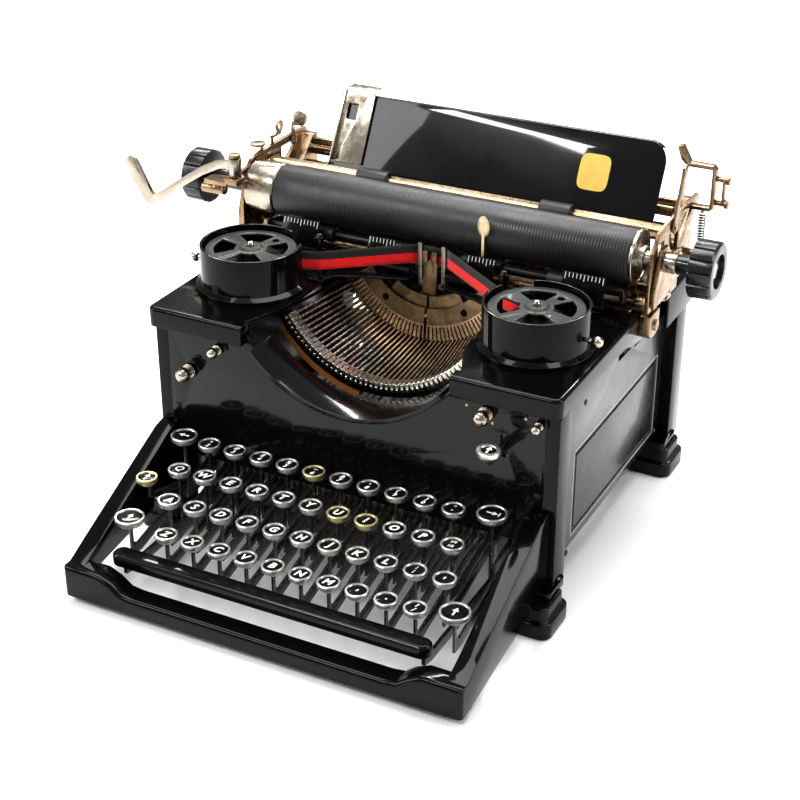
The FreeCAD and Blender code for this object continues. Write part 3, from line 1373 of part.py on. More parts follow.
def finger_piece():
    """A bent strip that rises from the right end plate and carries a turned-up tab."""
    y0, y1 = FINGER_Y - 3, FINGER_Y + 3
    strip = front_profile([(END_OUTER_X, 204), (FINGER_X, 204), (FINGER_X + 2.4, 206.4),
                           (FINGER_X + 2.4, 232), (FINGER_X, 234.4), (146, 234.4), (140, 245),
                           (137, 244), (140, 236), (144, 232), (FINGER_X, 232), (FINGER_X, 206.4),
                           (END_OUTER_X, 206.4)], y0, y1)
    studs = []
    for z in (226.0, 210.0):
        studs.append(turned([(0, 0), (1.8, 0), (1.8, 6.6), (3.0, 6.6), (3.0, 9.2), (0, 9.2)],
                            (FINGER_X + 2.4, FINGER_Y, z), V(1, 0, 0)))
    link = box(FINGER_X + 7, FINGER_X + 8.6, FINGER_Y - 2, FINGER_Y + 2, 210, 226)
    return strip, fused(studs + [link])


def long_spring():
    """The close-wound spring, as its outside, between its two eyes."""
    return turned([(0, 174.7), (1.0, 174.7), (1.0, 178), (2.6, 178), (2.6, 202), (1.0, 202),
                   (1.0, 203.7), (0, 203.7)], (156.0, FINGER_Y, 0))


strip, studs = finger_piece()
add("end_fittings", strip)
add("end_fittings", studs)
add("end_fittings", long_spring())
add("end_fittings", side_profile([(FINGER_Y - 3, 171.4), (FINGER_Y + 3, 171.4),
                                    (FINGER_Y + 3, 174.7), (FINGER_Y - 3, 174.7)],
                                   END_INNER_X, 159))


# Front fittings: ball knobs, ribbon selector, pin, and the margin release key

def ball_knob(at, r):
    x, z = at
    points = [(0, -9), (r * 0.62, -9), (r * 0.62, 0.4), (r * 0.95, 0.4), (r * 0.95, 2.2),
              (r * 0.62, 2.2), (r * 0.62, 4.4)]
    return ball_ended(points, r, (x, FRONT_Y, z), V(0, -1, 0))


add("front_fittings", ball_knob(BALL_KNOB_AT, 5.0))
add("ribbon_selector", ball_knob(SELECTOR_AT, 5.0))
add("front_fittings", ball_knob(WING_KNOB_AT, 3.6), ball_knob(STENCIL_PIN_AT, 3.0))

RELEASE_KEY = (105.0, -124.0, 122.0)
RELEASE_SHAFT_Y = -88.0
RELEASE_SHAFT_Z = 113.0


def margin_release():
    x, y, z = RELEASE_KEY
    head = key_head(x, y, z, KEY_RING_R)
    foot_z = z - KEY_RING_H
    arm = side_profile([(y - 1.4, foot_z), (y + 1.4, foot_z), (y + 6, RELEASE_SHAFT_Z + 3),
                        (RELEASE_SHAFT_Y, RELEASE_SHAFT_Z + 4.4),
                        (RELEASE_SHAFT_Y + 4.4, RELEASE_SHAFT_Z),
                        (RELEASE_SHAFT_Y, RELEASE_SHAFT_Z - 4.4), (y + 3, RELEASE_SHAFT_Z - 3),
                        (y - 1.4, foot_z - 3)], x - 0.8, x + 0.8)
    bore = rod((x - 2, RELEASE_SHAFT_Y, RELEASE_SHAFT_Z), (x + 2, RELEASE_SHAFT_Y, RELEASE_SHAFT_Z),
               2.0 + SHAFT_FIT)
    return head.fuse(arm).cut(bore)


add("margin_release_key", margin_release())
add("lever_rods", rod((RELEASE_KEY[0] - 3, RELEASE_SHAFT_Y, RELEASE_SHAFT_Z),
                               (SIDE_RAIL_X - SIDE_RAIL_T, RELEASE_SHAFT_Y, RELEASE_SHAFT_Z), 2.0))


for node, solids in NODES.items():
    shape = solids[0] if len(solids) == 1 else Part.makeCompound(solids)
    shape.exportStep(f"parts/{node}.step")
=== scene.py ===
import bpy, bmesh
import json
import math
from mathutils import Matrix, Vector
from mathutils.bvhtree import BVHTree


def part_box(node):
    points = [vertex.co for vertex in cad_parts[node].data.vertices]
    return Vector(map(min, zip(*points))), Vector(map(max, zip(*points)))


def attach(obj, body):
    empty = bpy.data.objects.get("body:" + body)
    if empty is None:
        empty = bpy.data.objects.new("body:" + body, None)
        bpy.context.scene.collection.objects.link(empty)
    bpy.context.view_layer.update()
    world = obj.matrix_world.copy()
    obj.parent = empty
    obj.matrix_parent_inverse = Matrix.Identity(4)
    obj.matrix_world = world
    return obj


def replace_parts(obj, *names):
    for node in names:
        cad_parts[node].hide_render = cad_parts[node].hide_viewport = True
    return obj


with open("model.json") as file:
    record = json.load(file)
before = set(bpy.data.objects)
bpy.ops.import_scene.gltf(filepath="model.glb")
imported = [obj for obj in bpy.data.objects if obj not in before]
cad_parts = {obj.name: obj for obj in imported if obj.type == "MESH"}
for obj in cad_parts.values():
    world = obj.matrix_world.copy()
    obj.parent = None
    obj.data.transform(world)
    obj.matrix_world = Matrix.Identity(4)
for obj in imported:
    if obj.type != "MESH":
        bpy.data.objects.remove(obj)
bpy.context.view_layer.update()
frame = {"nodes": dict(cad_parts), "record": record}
MM = 0.001


# The studio: a pale seamless floor, a broad softbox overhead with fills from both sides, and a
# camera at the photograph's angle. None of it is part of the typewriter.
CAMERA_AT = Vector((0.44289, -0.89396, 0.59935))
CAMERA_AZIMUTH = math.radians(27.17)
CAMERA_ELEVATION = math.radians(27.94)
CAMERA_LENS = 75.42
FLOOR_HALF = 6.0
SKY_STRENGTH = 0.42

floor_mesh = bpy.data.meshes.new("floor")
floor_work = bmesh.new()
bmesh.ops.create_grid(floor_work, x_segments=8, y_segments=8, size=FLOOR_HALF)
floor_work.to_mesh(floor_mesh)
floor_work.free()
floor = bpy.data.objects.new("floor", floor_mesh)
bpy.context.scene.collection.objects.link(floor)
floor_paper = bpy.data.materials.new("floor_paper")
floor_paper.use_nodes = True
floor_shader = floor_paper.node_tree.nodes["Principled BSDF"]
floor_shader.inputs["Base Color"].default_value = (0.93, 0.93, 0.93, 1)
floor_shader.inputs["Roughness"].default_value = 0.85
floor_shader.inputs["Specular IOR Level"].default_value = 0.1
floor_mesh.materials.append(floor_paper)

sky = bpy.data.worlds.new("studio")
sky.use_nodes = True
sky_shader = sky.node_tree.nodes["Background"]
sky_shader.inputs["Color"].default_value = (1, 1, 1, 1)
sky_shader.inputs["Strength"].default_value = SKY_STRENGTH
bpy.context.scene.world = sky


def softbox(name, at, aim, width, height, watts):
    """A rectangular area light at a place in metres, turned towards another."""
    light = bpy.data.lights.new(name, "AREA")
    light.shape = "RECTANGLE"
    light.size, light.size_y, light.energy = width, height, watts
    lamp = bpy.data.objects.new(name, light)
    lamp.location = at
    lamp.rotation_euler = (Vector(aim) - Vector(at)).to_track_quat("-Z", "Y").to_euler()
    bpy.context.scene.collection.objects.link(lamp)


softbox("softbox_top", (-0.1, 0.35, 1.7), (0, 0, 0.1), 1.6, 1.0, 40)
softbox("softbox_left", (-1.5, -0.9, 0.9), (0, 0, 0.1), 0.6, 1.2, 14)
softbox("softbox_right", (1.7, 0.3, 0.8), (0, 0, 0.1), 0.7, 1.3, 14)
softbox("strip_behind", (-0.5, 1.5, 1.3), (0, 0, 0.15), 1.8, 0.12, 22)
softbox("strip_front", (-0.7, -1.3, 1.6), (0, 0, 0.1), 1.2, 0.10, 16)

camera = bpy.data.objects.new("camera", bpy.data.cameras.new("camera"))
camera.data.lens = CAMERA_LENS
camera.data.sensor_width = 36
camera.location = CAMERA_AT
line_of_sight = Vector((-math.sin(CAMERA_AZIMUTH) * math.cos(CAMERA_ELEVATION),
                        math.cos(CAMERA_AZIMUTH) * math.cos(CAMERA_ELEVATION),
                        -math.sin(CAMERA_ELEVATION)))
camera.rotation_euler = line_of_sight.to_track_quat("-Z", "Y").to_euler()
bpy.context.scene.collection.objects.link(camera)
bpy.context.scene.camera = camera
bpy.context.scene.view_settings.view_transform = "Standard"
bpy.context.scene.view_settings.look = "Medium High Contrast"


# The castings and covers: iron and sheet steel under baked black japan, deep and glossy, wiped
# by hands for decades. Their edges are softly rounded, and thin brown where the japan has gone.
def new_node(tree, kind, values=None, **settings):
    made = tree.nodes.new("ShaderNode" + kind)
    for key, value in settings.items():
        setattr(made, key, value)
    for socket, value in (values or {}).items():
        made.inputs[socket].default_value = value
    return made


def new_group(name, inputs, outputs):
    group = bpy.data.node_groups.new(name, "ShaderNodeTree")
    for socket, kind in inputs:
        group.interface.new_socket(socket, in_out="INPUT", socket_type="NodeSocket" + kind)
    for socket, kind in outputs:
        group.interface.new_socket(socket, in_out="OUTPUT", socket_type="NodeSocket" + kind)
    return group, group.nodes.new("NodeGroupInput"), group.nodes.new("NodeGroupOutput")


def edge_wear_group():
    """Mask: how far the finish is rubbed through, strongest along outer edges."""
    group, given, out = new_group("edge_wear", [("Width", "Float"), ("Grain", "Float")],
                                  [("Mask", "Float")])
    links = group.links
    where = new_node(group, "TexCoord")
    edge = new_node(group, "Bevel", samples=4)
    surface = new_node(group, "NewGeometry")
    dot = new_node(group, "VectorMath", operation="DOT_PRODUCT")
    turn = new_node(group, "MapRange", {"From Min": 0.995, "From Max": 0.90})
    noise = new_node(group, "TexNoise", {"Detail": 6.0, "Roughness": 0.65})
    patch = new_node(group, "MapRange", {"From Min": 0.48, "From Max": 0.66})
    both = new_node(group, "Math", operation="MULTIPLY")
    links.new(given.outputs["Width"], edge.inputs["Radius"])
    links.new(edge.outputs["Normal"], dot.inputs[0])
    links.new(surface.outputs["Normal"], dot.inputs[1])
    links.new(dot.outputs["Value"], turn.inputs["Value"])
    links.new(where.outputs["Object"], noise.inputs["Vector"])
    links.new(given.outputs["Grain"], noise.inputs["Scale"])
    links.new(noise.outputs["Fac"], patch.inputs["Value"])
    links.new(turn.outputs["Result"], both.inputs[0])
    links.new(patch.outputs["Result"], both.inputs[1])
    links.new(both.outputs["Value"], out.inputs["Mask"])
    return group


def mottle_group():
    """Value: broad soft patches with finer ones in them, between Low and High."""
    group, given, out = new_group("mottle", [("Scale", "Float"), ("Low", "Float"),
                                             ("High", "Float")], [("Value", "Float")])
    links = group.links
    where = new_node(group, "TexCoord")
    noise = new_node(group, "TexNoise", {"Detail": 8.0, "Roughness": 0.6, "Distortion": 0.4})
    spread = new_node(group, "MapRange", {"From Min": 0.32, "From Max": 0.68})
    links.new(where.outputs["Object"], noise.inputs["Vector"])
    links.new(given.outputs["Scale"], noise.inputs["Scale"])
    links.new(noise.outputs["Fac"], spread.inputs["Value"])
    links.new(given.outputs["Low"], spread.inputs["To Min"])
    links.new(given.outputs["High"], spread.inputs["To Max"])
    links.new(spread.outputs["Result"], out.inputs["Value"])
    return group


def grain_group():
    """Normal: a fine pitted or orange-peel relief."""
    group, given, out = new_group("grain", [("Scale", "Float"), ("Strength", "Float"),
                                            ("Depth", "Float")], [("Normal", "Vector")])
    links = group.links
    where = new_node(group, "TexCoord")
    noise = new_node(group, "TexNoise", {"Detail": 3.0, "Roughness": 0.55})
    bump = new_node(group, "Bump")
    links.new(where.outputs["Object"], noise.inputs["Vector"])
    links.new(given.outputs["Scale"], noise.inputs["Scale"])
    links.new(given.outputs["Strength"], bump.inputs["Strength"])
    links.new(given.outputs["Depth"], bump.inputs["Distance"])
    links.new(noise.outputs["Fac"], bump.inputs["Height"])
    links.new(bump.outputs["Normal"], out.inputs["Normal"])
    return group


EDGE_WEAR = edge_wear_group()
MOTTLE = mottle_group()
GRAIN = grain_group()


def effect(tree, group, values):
    made = tree.nodes.new("ShaderNodeGroup")
    made.node_tree = group
    for socket, value in values.items():
        made.inputs[socket].default_value = value
    return made


def new_finish(name):
    material = bpy.data.materials.new(name)
    material.use_nodes = True
    tree = material.node_tree
    return material, tree, tree.nodes["Principled BSDF"]


# A Mix node's colour sockets go by number, because its other sockets have the same names.
MIX_A, MIX_B, MIX_RESULT = 6, 7, 2


def mixed(tree, mask, low, high):
    """A colour that runs from low to high by a mask. Each is a colour or a socket."""
    mix = new_node(tree, "Mix", data_type="RGBA")
    tree.links.new(mask, mix.inputs["Factor"])
    for number, value in ((MIX_A, low), (MIX_B, high)):
        if isinstance(value, tuple):
            mix.inputs[number].default_value = (*value, 1)
        else:
            tree.links.new(value, mix.inputs[number])
    return mix.outputs[MIX_RESULT]


def lacquer(name, colour=(0.0025, 0.0025, 0.003), smooth=0.08, dull=0.2, worn=(0.10, 0.075, 0.055),
            wear_width=0.0007, coat=0.25, specular=0.06, dust_amount=0.05):
    """Baked black japan: a clear coat over black, with wiped patches, dust and rubbed edges."""
    material, tree, shader = new_finish(name)
    links = tree.links
    wear = effect(tree, EDGE_WEAR, {"Width": wear_width, "Grain": 260.0})
    patches = effect(tree, MOTTLE, {"Scale": 22.0, "Low": smooth, "High": dull})
    relief = effect(tree, GRAIN, {"Scale": 420.0, "Strength": 0.08, "Depth": 0.0004})
    specks = effect(tree, MOTTLE, {"Scale": 900.0, "Low": 0.0, "High": 1.0})
    dust = new_node(tree, "MapRange", {"From Min": 0.93, "From Max": 1.0, "To Max": dust_amount})
    links.new(specks.outputs["Value"], dust.inputs["Value"])
    dusty = mixed(tree, dust.outputs["Result"], colour, (0.30, 0.28, 0.25))
    links.new(mixed(tree, wear.outputs["Mask"], dusty, worn), shader.inputs["Base Color"])
    links.new(patches.outputs["Value"], shader.inputs["Roughness"])
    links.new(relief.outputs["Normal"], shader.inputs["Normal"])
    shader.inputs["Coat Weight"].default_value = coat
    shader.inputs["Coat Roughness"].default_value = 0.04
    shader.inputs["Specular IOR Level"].default_value = specular
    return material


SAME_POINT = 2e-6
FLAT_WITHIN = math.radians(0.8)


def merged(node):
    """A copy of a node's mesh, its doubles merged and its flat faces joined."""
    work = bmesh.new()
    work.from_mesh(frame["nodes"][node].data)
    bmesh.ops.remove_doubles(work, verts=work.verts, dist=SAME_POINT)
    bmesh.ops.dissolve_limit(work, angle_limit=FLAT_WITHIN, verts=work.verts, edges=work.edges)
    return work


def loose_pieces(work):
    """The separate pieces of a mesh, each as its faces with its lowest and highest corners."""
    work.faces.index_update()
    pieces, seen = [], set()
    for start in work.faces:
        if start.index in seen:
            continue
        seen.add(start.index)
        faces, waiting = [start], [start]
        while waiting:
            face = waiting.pop()
            for edge in face.edges:
                for other in edge.link_faces:
                    if other.index not in seen:
                        seen.add(other.index)
                        faces.append(other)
                        waiting.append(other)
        corners = [v.co for f in faces for v in f.verts]
        low = Vector(min(c[k] for c in corners) for k in range(3)) / MM
        high = Vector(max(c[k] for c in corners) for k in range(3)) / MM
        pieces.append((faces, low, high))
    return pieces


def only(work, wanted):
    """Keeps the loose pieces whose corners, in millimetres, pass the test."""
    away = [f for faces, low, high in loose_pieces(work) if not wanted(low, high) for f in faces]
    bmesh.ops.delete(work, geom=away, context="FACES")
    return work


def in_finish(work, number, wanted=None):
    """Gives the loose pieces that pass the test the finish of that number."""
    for faces, low, high in loose_pieces(work):
        if wanted is None or wanted(low, high):
            for face in faces:
                face.material_index = number
    return work


def round_edges(work, width, segments=2, angle=30):
    """Bevels the sharp edges of each loose piece by itself."""
    for faces, _, _ in loose_pieces(work):
        edges = {e for f in faces if f.is_valid for e in f.edges}
        sharp = [e for e in edges if len(e.link_faces) == 2
                 and e.calc_face_angle(0) > math.radians(angle)]
        if sharp:
            bmesh.ops.bevel(work, geom=sharp, offset=width * MM, offset_type="OFFSET",
                            segments=segments, profile=0.5, affect="EDGES",
                            clamp_overlap=True, material=-1)
    return work


def as_piece(work, name, body, *finishes, smooth=38):
    """Makes the mesh an object that rides on a body."""
    mesh = bpy.data.meshes.new(name)
    work.to_mesh(mesh)
    work.free()
    mesh.polygons.foreach_set("use_smooth", [True] * len(mesh.polygons))
    mesh.set_sharp_from_angle(angle=math.radians(smooth))
    for finish in finishes:
        mesh.materials.append(finish)
    piece = bpy.data.objects.new(name, mesh)
    bpy.context.scene.collection.objects.link(piece)
    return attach(piece, body)


def body_of_node(node):
    return next(b for b, names in frame["record"]["behaviour"]["bodies"].items() if node in names)


def stands_for(work, node, *finishes, smooth=38):
    """Makes the mesh the finished piece that is shown instead of a node."""
    piece = as_piece(work, f"{node}_finished", body_of_node(node), *finishes, smooth=smooth)
    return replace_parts(piece, node)


def finished(node, finish, width, segments=2, angle=30, smooth=38):
    """A node's own shape with rounded edges and a finish, standing for the node."""
    return stands_for(round_edges(merged(node), width, segments, angle), node, finish,
                      smooth=smooth)


black_japan = lacquer("black_japan")
for node, width in (("main_frame", 0.8), ("keyboard_surround", 1.2), ("top_cover", 1.1),
                    ("rear_housing", 0.8)):
    finished(node, black_japan, width, segments=3)


# The front plate: sheet steel behind the keys, pressed with a dished top edge and held by a screw
# near each end. Its japan is satin, a shade lighter than the castings'.
plate_japan = lacquer("plate_japan", colour=(0.004, 0.004, 0.004), smooth=0.10, dull=0.16,
                      coat=0.25, specular=0.15)
finished("front_plate", plate_japan, 0.5, segments=3)

# The side panels: flat steel sheets with a sunk rectangle. Their japan is satin and thinly
# speckled with dust, so they catch the light as a soft grey.
panel_japan = lacquer("panel_japan", colour=(0.006, 0.006, 0.006), smooth=0.22, dull=0.34,
                      coat=0.15, specular=0.4, dust_amount=0.35)
finished("side_panels", panel_japan, 0.35, segments=3)


# Small screws: slotted domes of black steel, turned and sawn. Five hold each side panel to the
# frame, and two hold the front plate.
def turned(profile, steps=24):
    """A closed turned shape from (radius, height) points in millimetres, about an upright axis."""
    part = bmesh.new()
    points = [part.verts.new((r * MM, 0, h * MM)) for r, h in profile]
    edges = [part.edges.new(pair) for pair in zip(points, points[1:])]
    bmesh.ops.spin(part, geom=points + edges, cent=(0, 0, 0), axis=(0, 0, 1),
                   angle=2 * math.pi, steps=steps, use_merge=True)
    bmesh.ops.remove_doubles(part, verts=part.verts, dist=1e-6)
    bmesh.ops.recalc_face_normals(part, faces=part.faces)
    return part


def place(work, part, placement, number=0):
    """Adds a small mesh to a larger one at a placement, in the finish of that number."""
    for face in part.faces:
        face.material_index = number
    bmesh.ops.transform(part, matrix=placement, verts=part.verts)
    holder = bpy.data.meshes.new("holder")
    part.to_mesh(holder)
    part.free()
    work.from_mesh(holder)
    bpy.data.meshes.remove(holder)


def at_mm(x, y, z):
    return Matrix.Translation(Vector((x, y, z)) * MM)


DRIVER_SLOT_SHARE = 0.13
DRIVER_SLOT_WALL = 0.05
DRIVER_SLOT_DEPTH = 0.5


def slotted_screw(r, height):
    """A domed screw head with a driver's slot, its flat side at the origin."""
    head = turned([(0, height), (r * 0.6, height * 0.86), (r * 0.88, height * 0.5), (r, 0),
                   (r, -0.4), (0, -0.4)], steps=20)
    slot_half = r * DRIVER_SLOT_SHARE * MM
    for side in (-1, 1):
        for reach in (slot_half, slot_half + DRIVER_SLOT_WALL * MM):
            bmesh.ops.bisect_plane(head, geom=head.verts[:] + head.edges[:] + head.faces[:],
                                   plane_co=(side * reach, 0, 0), plane_no=(1, 0, 0))
    for vert in head.verts:
        if abs(vert.co.x) < slot_half + DRIVER_SLOT_WALL * MM / 2 and vert.co.z > 0.0:
            vert.co.z = max(vert.co.z - DRIVER_SLOT_DEPTH * MM, 0.0)
    return head


# Each screw has its place on the panel or the plate, and its slot's turn in degrees.
PANEL_SCREWS = ((-40, 119.6, 20), (-68, 86, 75), (-60, 22, 50), (101, 30, 110), (96, 112, 15))
PLATE_SCREWS = ((-127, 84, 35), (127, 84, 80))
PANEL_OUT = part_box("side_panels")[1].x / MM
PLATE_FRONT = -101.1
FACING_FRONT = Matrix.Rotation(math.pi / 2, 4, "X")
screw_steel = lacquer("screw_steel", colour=(0.02, 0.02, 0.02), smooth=0.2, dull=0.4,
                      worn=(0.35, 0.32, 0.28), coat=0.2)
screws = bmesh.new()
for side in (-1, 1):
    facing = Matrix.Rotation(side * math.pi / 2, 4, "Y")
    for y, z, turn in PANEL_SCREWS:
        spin = Matrix.Rotation(math.radians(turn), 4, "Z")
        place(screws, slotted_screw(2.1, 0.7), at_mm(side * PANEL_OUT, y, z) @ facing @ spin)
for x, z, turn in PLATE_SCREWS:
    spin = Matrix.Rotation(math.radians(turn), 4, "Z")
    place(screws, slotted_screw(2.3, 0.8), at_mm(x, PLATE_FRONT, z) @ FACING_FRONT @ spin)
screws_piece = as_piece(screws, "casing_screws", "machine", screw_steel)


# Painted marks: a thin pale line round the sunk rectangle of each side panel, which is a painted
# highlight along the recess's edge, and three plain gold dots on the front plate by the ribbon
# lever.
def block(low, high):
    """A box between two corners in millimetres."""
    part = bmesh.new()
    size = Vector(high) - Vector(low)
    middle = (Vector(high) + Vector(low)) / 2
    stretch = Matrix.Diagonal((*(size * MM), 1))
    bmesh.ops.create_cube(part, size=1.0, matrix=at_mm(*middle) @ stretch)
    return part


def paint(name, colour, rough=0.5):
    """Flat enamel or ink, a little uneven."""
    material, tree, shader = new_finish(name)
    patches = effect(tree, MOTTLE, {"Scale": 160.0, "Low": 0.0, "High": 1.0})
    tree.links.new(mixed(tree, patches.outputs["Value"], colour, tuple(0.8 * c for c in colour)),
                   shader.inputs["Base Color"])
    shader.inputs["Roughness"].default_value = rough
    return material


# The pale line's colour is a painted highlight along the edge of each panel's recess.
recess_painted_highlight = paint("recess_painted_highlight", (0.42, 0.40, 0.34), 0.4)
dot_gold = paint("dot_gold", (0.62, 0.46, 0.14), 0.4)
INSET_Y, INSET_Z = (-52.7, 94.8), (33.0, 90.0)
LINE_OUT, LINE_W = 2.2, 0.8
GOLD_DOTS = ((80, 134), (97, 126), (118, 134))
marks = bmesh.new()
y0, y1 = INSET_Y[0] - LINE_OUT, INSET_Y[1] + LINE_OUT
z0, z1 = INSET_Z[0] - LINE_OUT, INSET_Z[1] + LINE_OUT
for side in (-1, 1):
    near, far = sorted((side * (PANEL_OUT - 0.1), side * (PANEL_OUT + 0.06)))
    for a, b, c, d in ((y0, y1, z0, z0 + LINE_W), (y0, y1, z1 - LINE_W, z1),
                       (y0, y0 + LINE_W, z0, z1), (y1 - LINE_W, y1, z0, z1)):
        place(marks, block((near, a, c), (far, b, d)), Matrix.Identity(4), 0)
for x, z in GOLD_DOTS:
    place(marks, turned([(0, 0.08), (0.9, 0.08), (0.9, -0.2), (0, -0.2)], steps=16),
          at_mm(x, PLATE_FRONT, z) @ FACING_FRONT, 1)
marks_piece = as_piece(marks, "painted_marks", "machine", recess_painted_highlight, dot_gold)


# The feet: blocks of black rubber in two tiers, each held by a screw up its middle. They are a
# little duller than the castings.
shoe_black = lacquer("shoe_black", smooth=0.2, dull=0.4, coat=0.35)
finished("feet", shoe_black, 1.2, segments=3)


# Bright parts: brass and steel that were nickel-plated, now warm and cloudy, with brown spots
# where the plating is thin.
def plated(name, bright, tarnish, low=0.14, high=0.36, spots=34.0, share=0.55, pitted=0.12):
    material, tree, shader = new_finish(name)
    links = tree.links
    patches = effect(tree, MOTTLE, {"Scale": spots, "Low": 0.0, "High": share})
    fine = effect(tree, MOTTLE, {"Scale": spots * 6, "Low": low, "High": high})
    wear = effect(tree, EDGE_WEAR, {"Width": 0.0004, "Grain": 500.0})
    relief = effect(tree, GRAIN, {"Scale": 1500.0, "Strength": pitted, "Depth": 0.0002})
    cloudy = mixed(tree, patches.outputs["Value"], bright, tarnish)
    rubbed = mixed(tree, wear.outputs["Mask"], cloudy, tuple(0.25 + 0.75 * c for c in bright))
    links.new(rubbed, shader.inputs["Base Color"])
    links.new(fine.outputs["Value"], shader.inputs["Roughness"])
    links.new(relief.outputs["Normal"], shader.inputs["Normal"])
    shader.inputs["Metallic"].default_value = 1.0
    return material


nickel = plated("worn_nickel", (0.48, 0.44, 0.37), (0.25, 0.18, 0.12), low=0.14, high=0.34)
bronze = plated("tarnished_plate", (0.38, 0.27, 0.17), (0.13, 0.08, 0.045), low=0.16, high=0.42,
                spots=46.0, share=0.8)
steel = plated("oiled_steel", (0.36, 0.34, 0.31), (0.14, 0.11, 0.08), low=0.24, high=0.5,
               spots=60.0, share=0.7)
black_steel = lacquer("black_steel", smooth=0.2, dull=0.4, coat=0.25)
for node in ("side_guide", "return_lever", "carriage_release", "margin_stop_left",
             "margin_stop_right", "ribbon_selector", "front_fittings"):
    finished(node, nickel, 0.3)
for node in ("end_plates", "carriage_truck", "carriage_rails", "shift_frame", "paper_release"):
    finished(node, bronze, 0.25)
for node in ("lever_rods", "escape_wheel"):
    finished(node, steel, 0.2)


# Carriage end fittings: small tarnished brackets and studs, the return lever's link, and the dark
# coil spring that draws the paper arm down.
SPRING_X, SPRING_Y = 156, 90
SPRING_FOOT, SPRING_TOP = 176.0, 203.7
SPRING_R = 2.1
WIRE_R = 0.42
COIL_TURNS = 13
COIL_STEPS = 12


def is_plain_spring(low, high):
    """Whether a loose piece is the plain solid that the coil's turns stand for."""
    return low.x > 152 and low.z < SPRING_FOOT and high.z > 190


end_work = only(merged("end_fittings"), lambda low, high: not is_plain_spring(low, high))
coil = bmesh.new()
ring = bmesh.ops.create_circle(coil, segments=6, radius=WIRE_R * MM)
bmesh.ops.rotate(coil, verts=ring["verts"], cent=(0, 0, 0),
                 matrix=Matrix.Rotation(math.pi / 2, 3, "X"))
bmesh.ops.translate(coil, verts=ring["verts"], vec=(SPRING_R * MM, 0, 0))
coil_height = SPRING_TOP - SPRING_FOOT - 4.0
rise = coil_height * MM / (COIL_TURNS * COIL_STEPS)
bmesh.ops.spin(coil, geom=coil.verts[:] + coil.edges[:], cent=(0, 0, 0), axis=(0, 0, 1),
               dvec=(0, 0, rise), angle=2 * math.pi * COIL_TURNS, steps=COIL_TURNS * COIL_STEPS)
bmesh.ops.holes_fill(coil, edges=[e for e in coil.edges if e.is_boundary])
bmesh.ops.recalc_face_normals(coil, faces=coil.faces)
round_edges(end_work, 0.25)
for end_z in (SPRING_FOOT - 1.3, SPRING_TOP - 2.0):
    place(end_work, turned([(0, 0), (1.1, 0), (1.1, 2.0), (0, 2.0)], steps=12),
          at_mm(SPRING_X, SPRING_Y, end_z), 0)
place(end_work, coil, at_mm(SPRING_X, SPRING_Y, SPRING_FOOT + 1.0), 1)
stands_for(end_work, "end_fittings", bronze, screw_steel)


# The type basket: a mottled bronze segment with forty-two slots, the steel typebars that hang
# on its curved wire, and the black rest under their heads. The bars' flat sides are painted dark
# as shade, and their narrow faces bright as a painted highlight.
def rubber(name, colour=(0.009, 0.009, 0.010), low=0.34, high=0.55, ring_pitch=0.0,
           ring_depth=0.0):
    """Rubber, felt or cloth with a dull bloom, and turned rings where they have a pitch."""
    material, tree, shader = new_finish(name)
    links = tree.links
    patches = effect(tree, MOTTLE, {"Scale": 30.0, "Low": low, "High": high})
    links.new(patches.outputs["Value"], shader.inputs["Roughness"])
    bloom = effect(tree, MOTTLE, {"Scale": 12.0, "Low": 0.0, "High": 0.5})
    links.new(mixed(tree, bloom.outputs["Value"], colour, tuple(c * 2.2 for c in colour)),
              shader.inputs["Base Color"])
    if ring_pitch:
        where = new_node(tree, "TexCoord")
        wave = new_node(tree, "TexWave", {"Scale": 2 * math.pi / (20 * ring_pitch)},
                        wave_type="BANDS", bands_direction="X")
        bump = new_node(tree, "Bump", {"Strength": 0.8, "Distance": ring_depth})
        links.new(where.outputs["Object"], wave.inputs["Vector"])
        links.new(wave.outputs["Fac"], bump.inputs["Height"])
        links.new(bump.outputs["Normal"], shader.inputs["Normal"])
    else:
        relief = effect(tree, GRAIN, {"Scale": 900.0, "Strength": 0.3, "Depth": 0.0002})
        links.new(relief.outputs["Normal"], shader.inputs["Normal"])
    return material


segment_metal = plated("segment_metal", (0.36, 0.26, 0.14), (0.13, 0.09, 0.05), low=0.3,
                       high=0.5, spots=90.0, share=0.95)
tooth_metal = plated("tooth_metal", (0.72, 0.50, 0.33), (0.44, 0.27, 0.16), low=0.22, high=0.42,
                     spots=120.0, share=0.6)
# The bars' steel in two copies: a bright one for their narrow faces as a painted highlight, and a
# dark one for their flat sides as painted shade.
bar_painted_highlight = plated("bar_painted_highlight", (0.78, 0.74, 0.66), (0.36, 0.30, 0.22), low=0.14, high=0.34,
                   spots=90.0, share=0.5)
bar_painted_shade = lacquer("bar_painted_shade", colour=(0.012, 0.010, 0.008), smooth=0.3, dull=0.5, coat=0.0,
                   specular=0.2)
finished("type_rest", black_steel, 0.3)

PRINT_POINT = (0, 14.2, 182.3)
BASKET_TILT = 6.8
BAR_COUNT = 42
BAR_FAN = 54.0
WORKING_BAR = 21
basket = at_mm(*PRINT_POINT) @ Matrix.Rotation(math.radians(-BASKET_TILT), 4, "X")
bar_step = 2 * BAR_FAN / (BAR_COUNT - 1)
bar_angles = [-BAR_FAN + k * bar_step for k in range(BAR_COUNT)]
for node in ("typebars", "typebar_h"):
    bars = round_edges(merged(node), 0.14, segments=1)
    for faces, low, high in loose_pieces(bars):
        middle = basket.inverted() @ ((low + high) / 2 * MM)
        angle = math.atan2(middle.x, -middle.z)
        across = basket.to_3x3() @ Vector((math.cos(angle), 0, math.sin(angle)))
        # Faces turned to a bar's flat sides take the painted shade; the rest take the painted
        # highlight.
        for face in faces:
            face.material_index = 1 if abs(face.normal.dot(across)) > 0.8 else 0
    stands_for(bars, node, bar_painted_highlight, bar_painted_shade)
segment_work = round_edges(merged("segment"), 0.2)


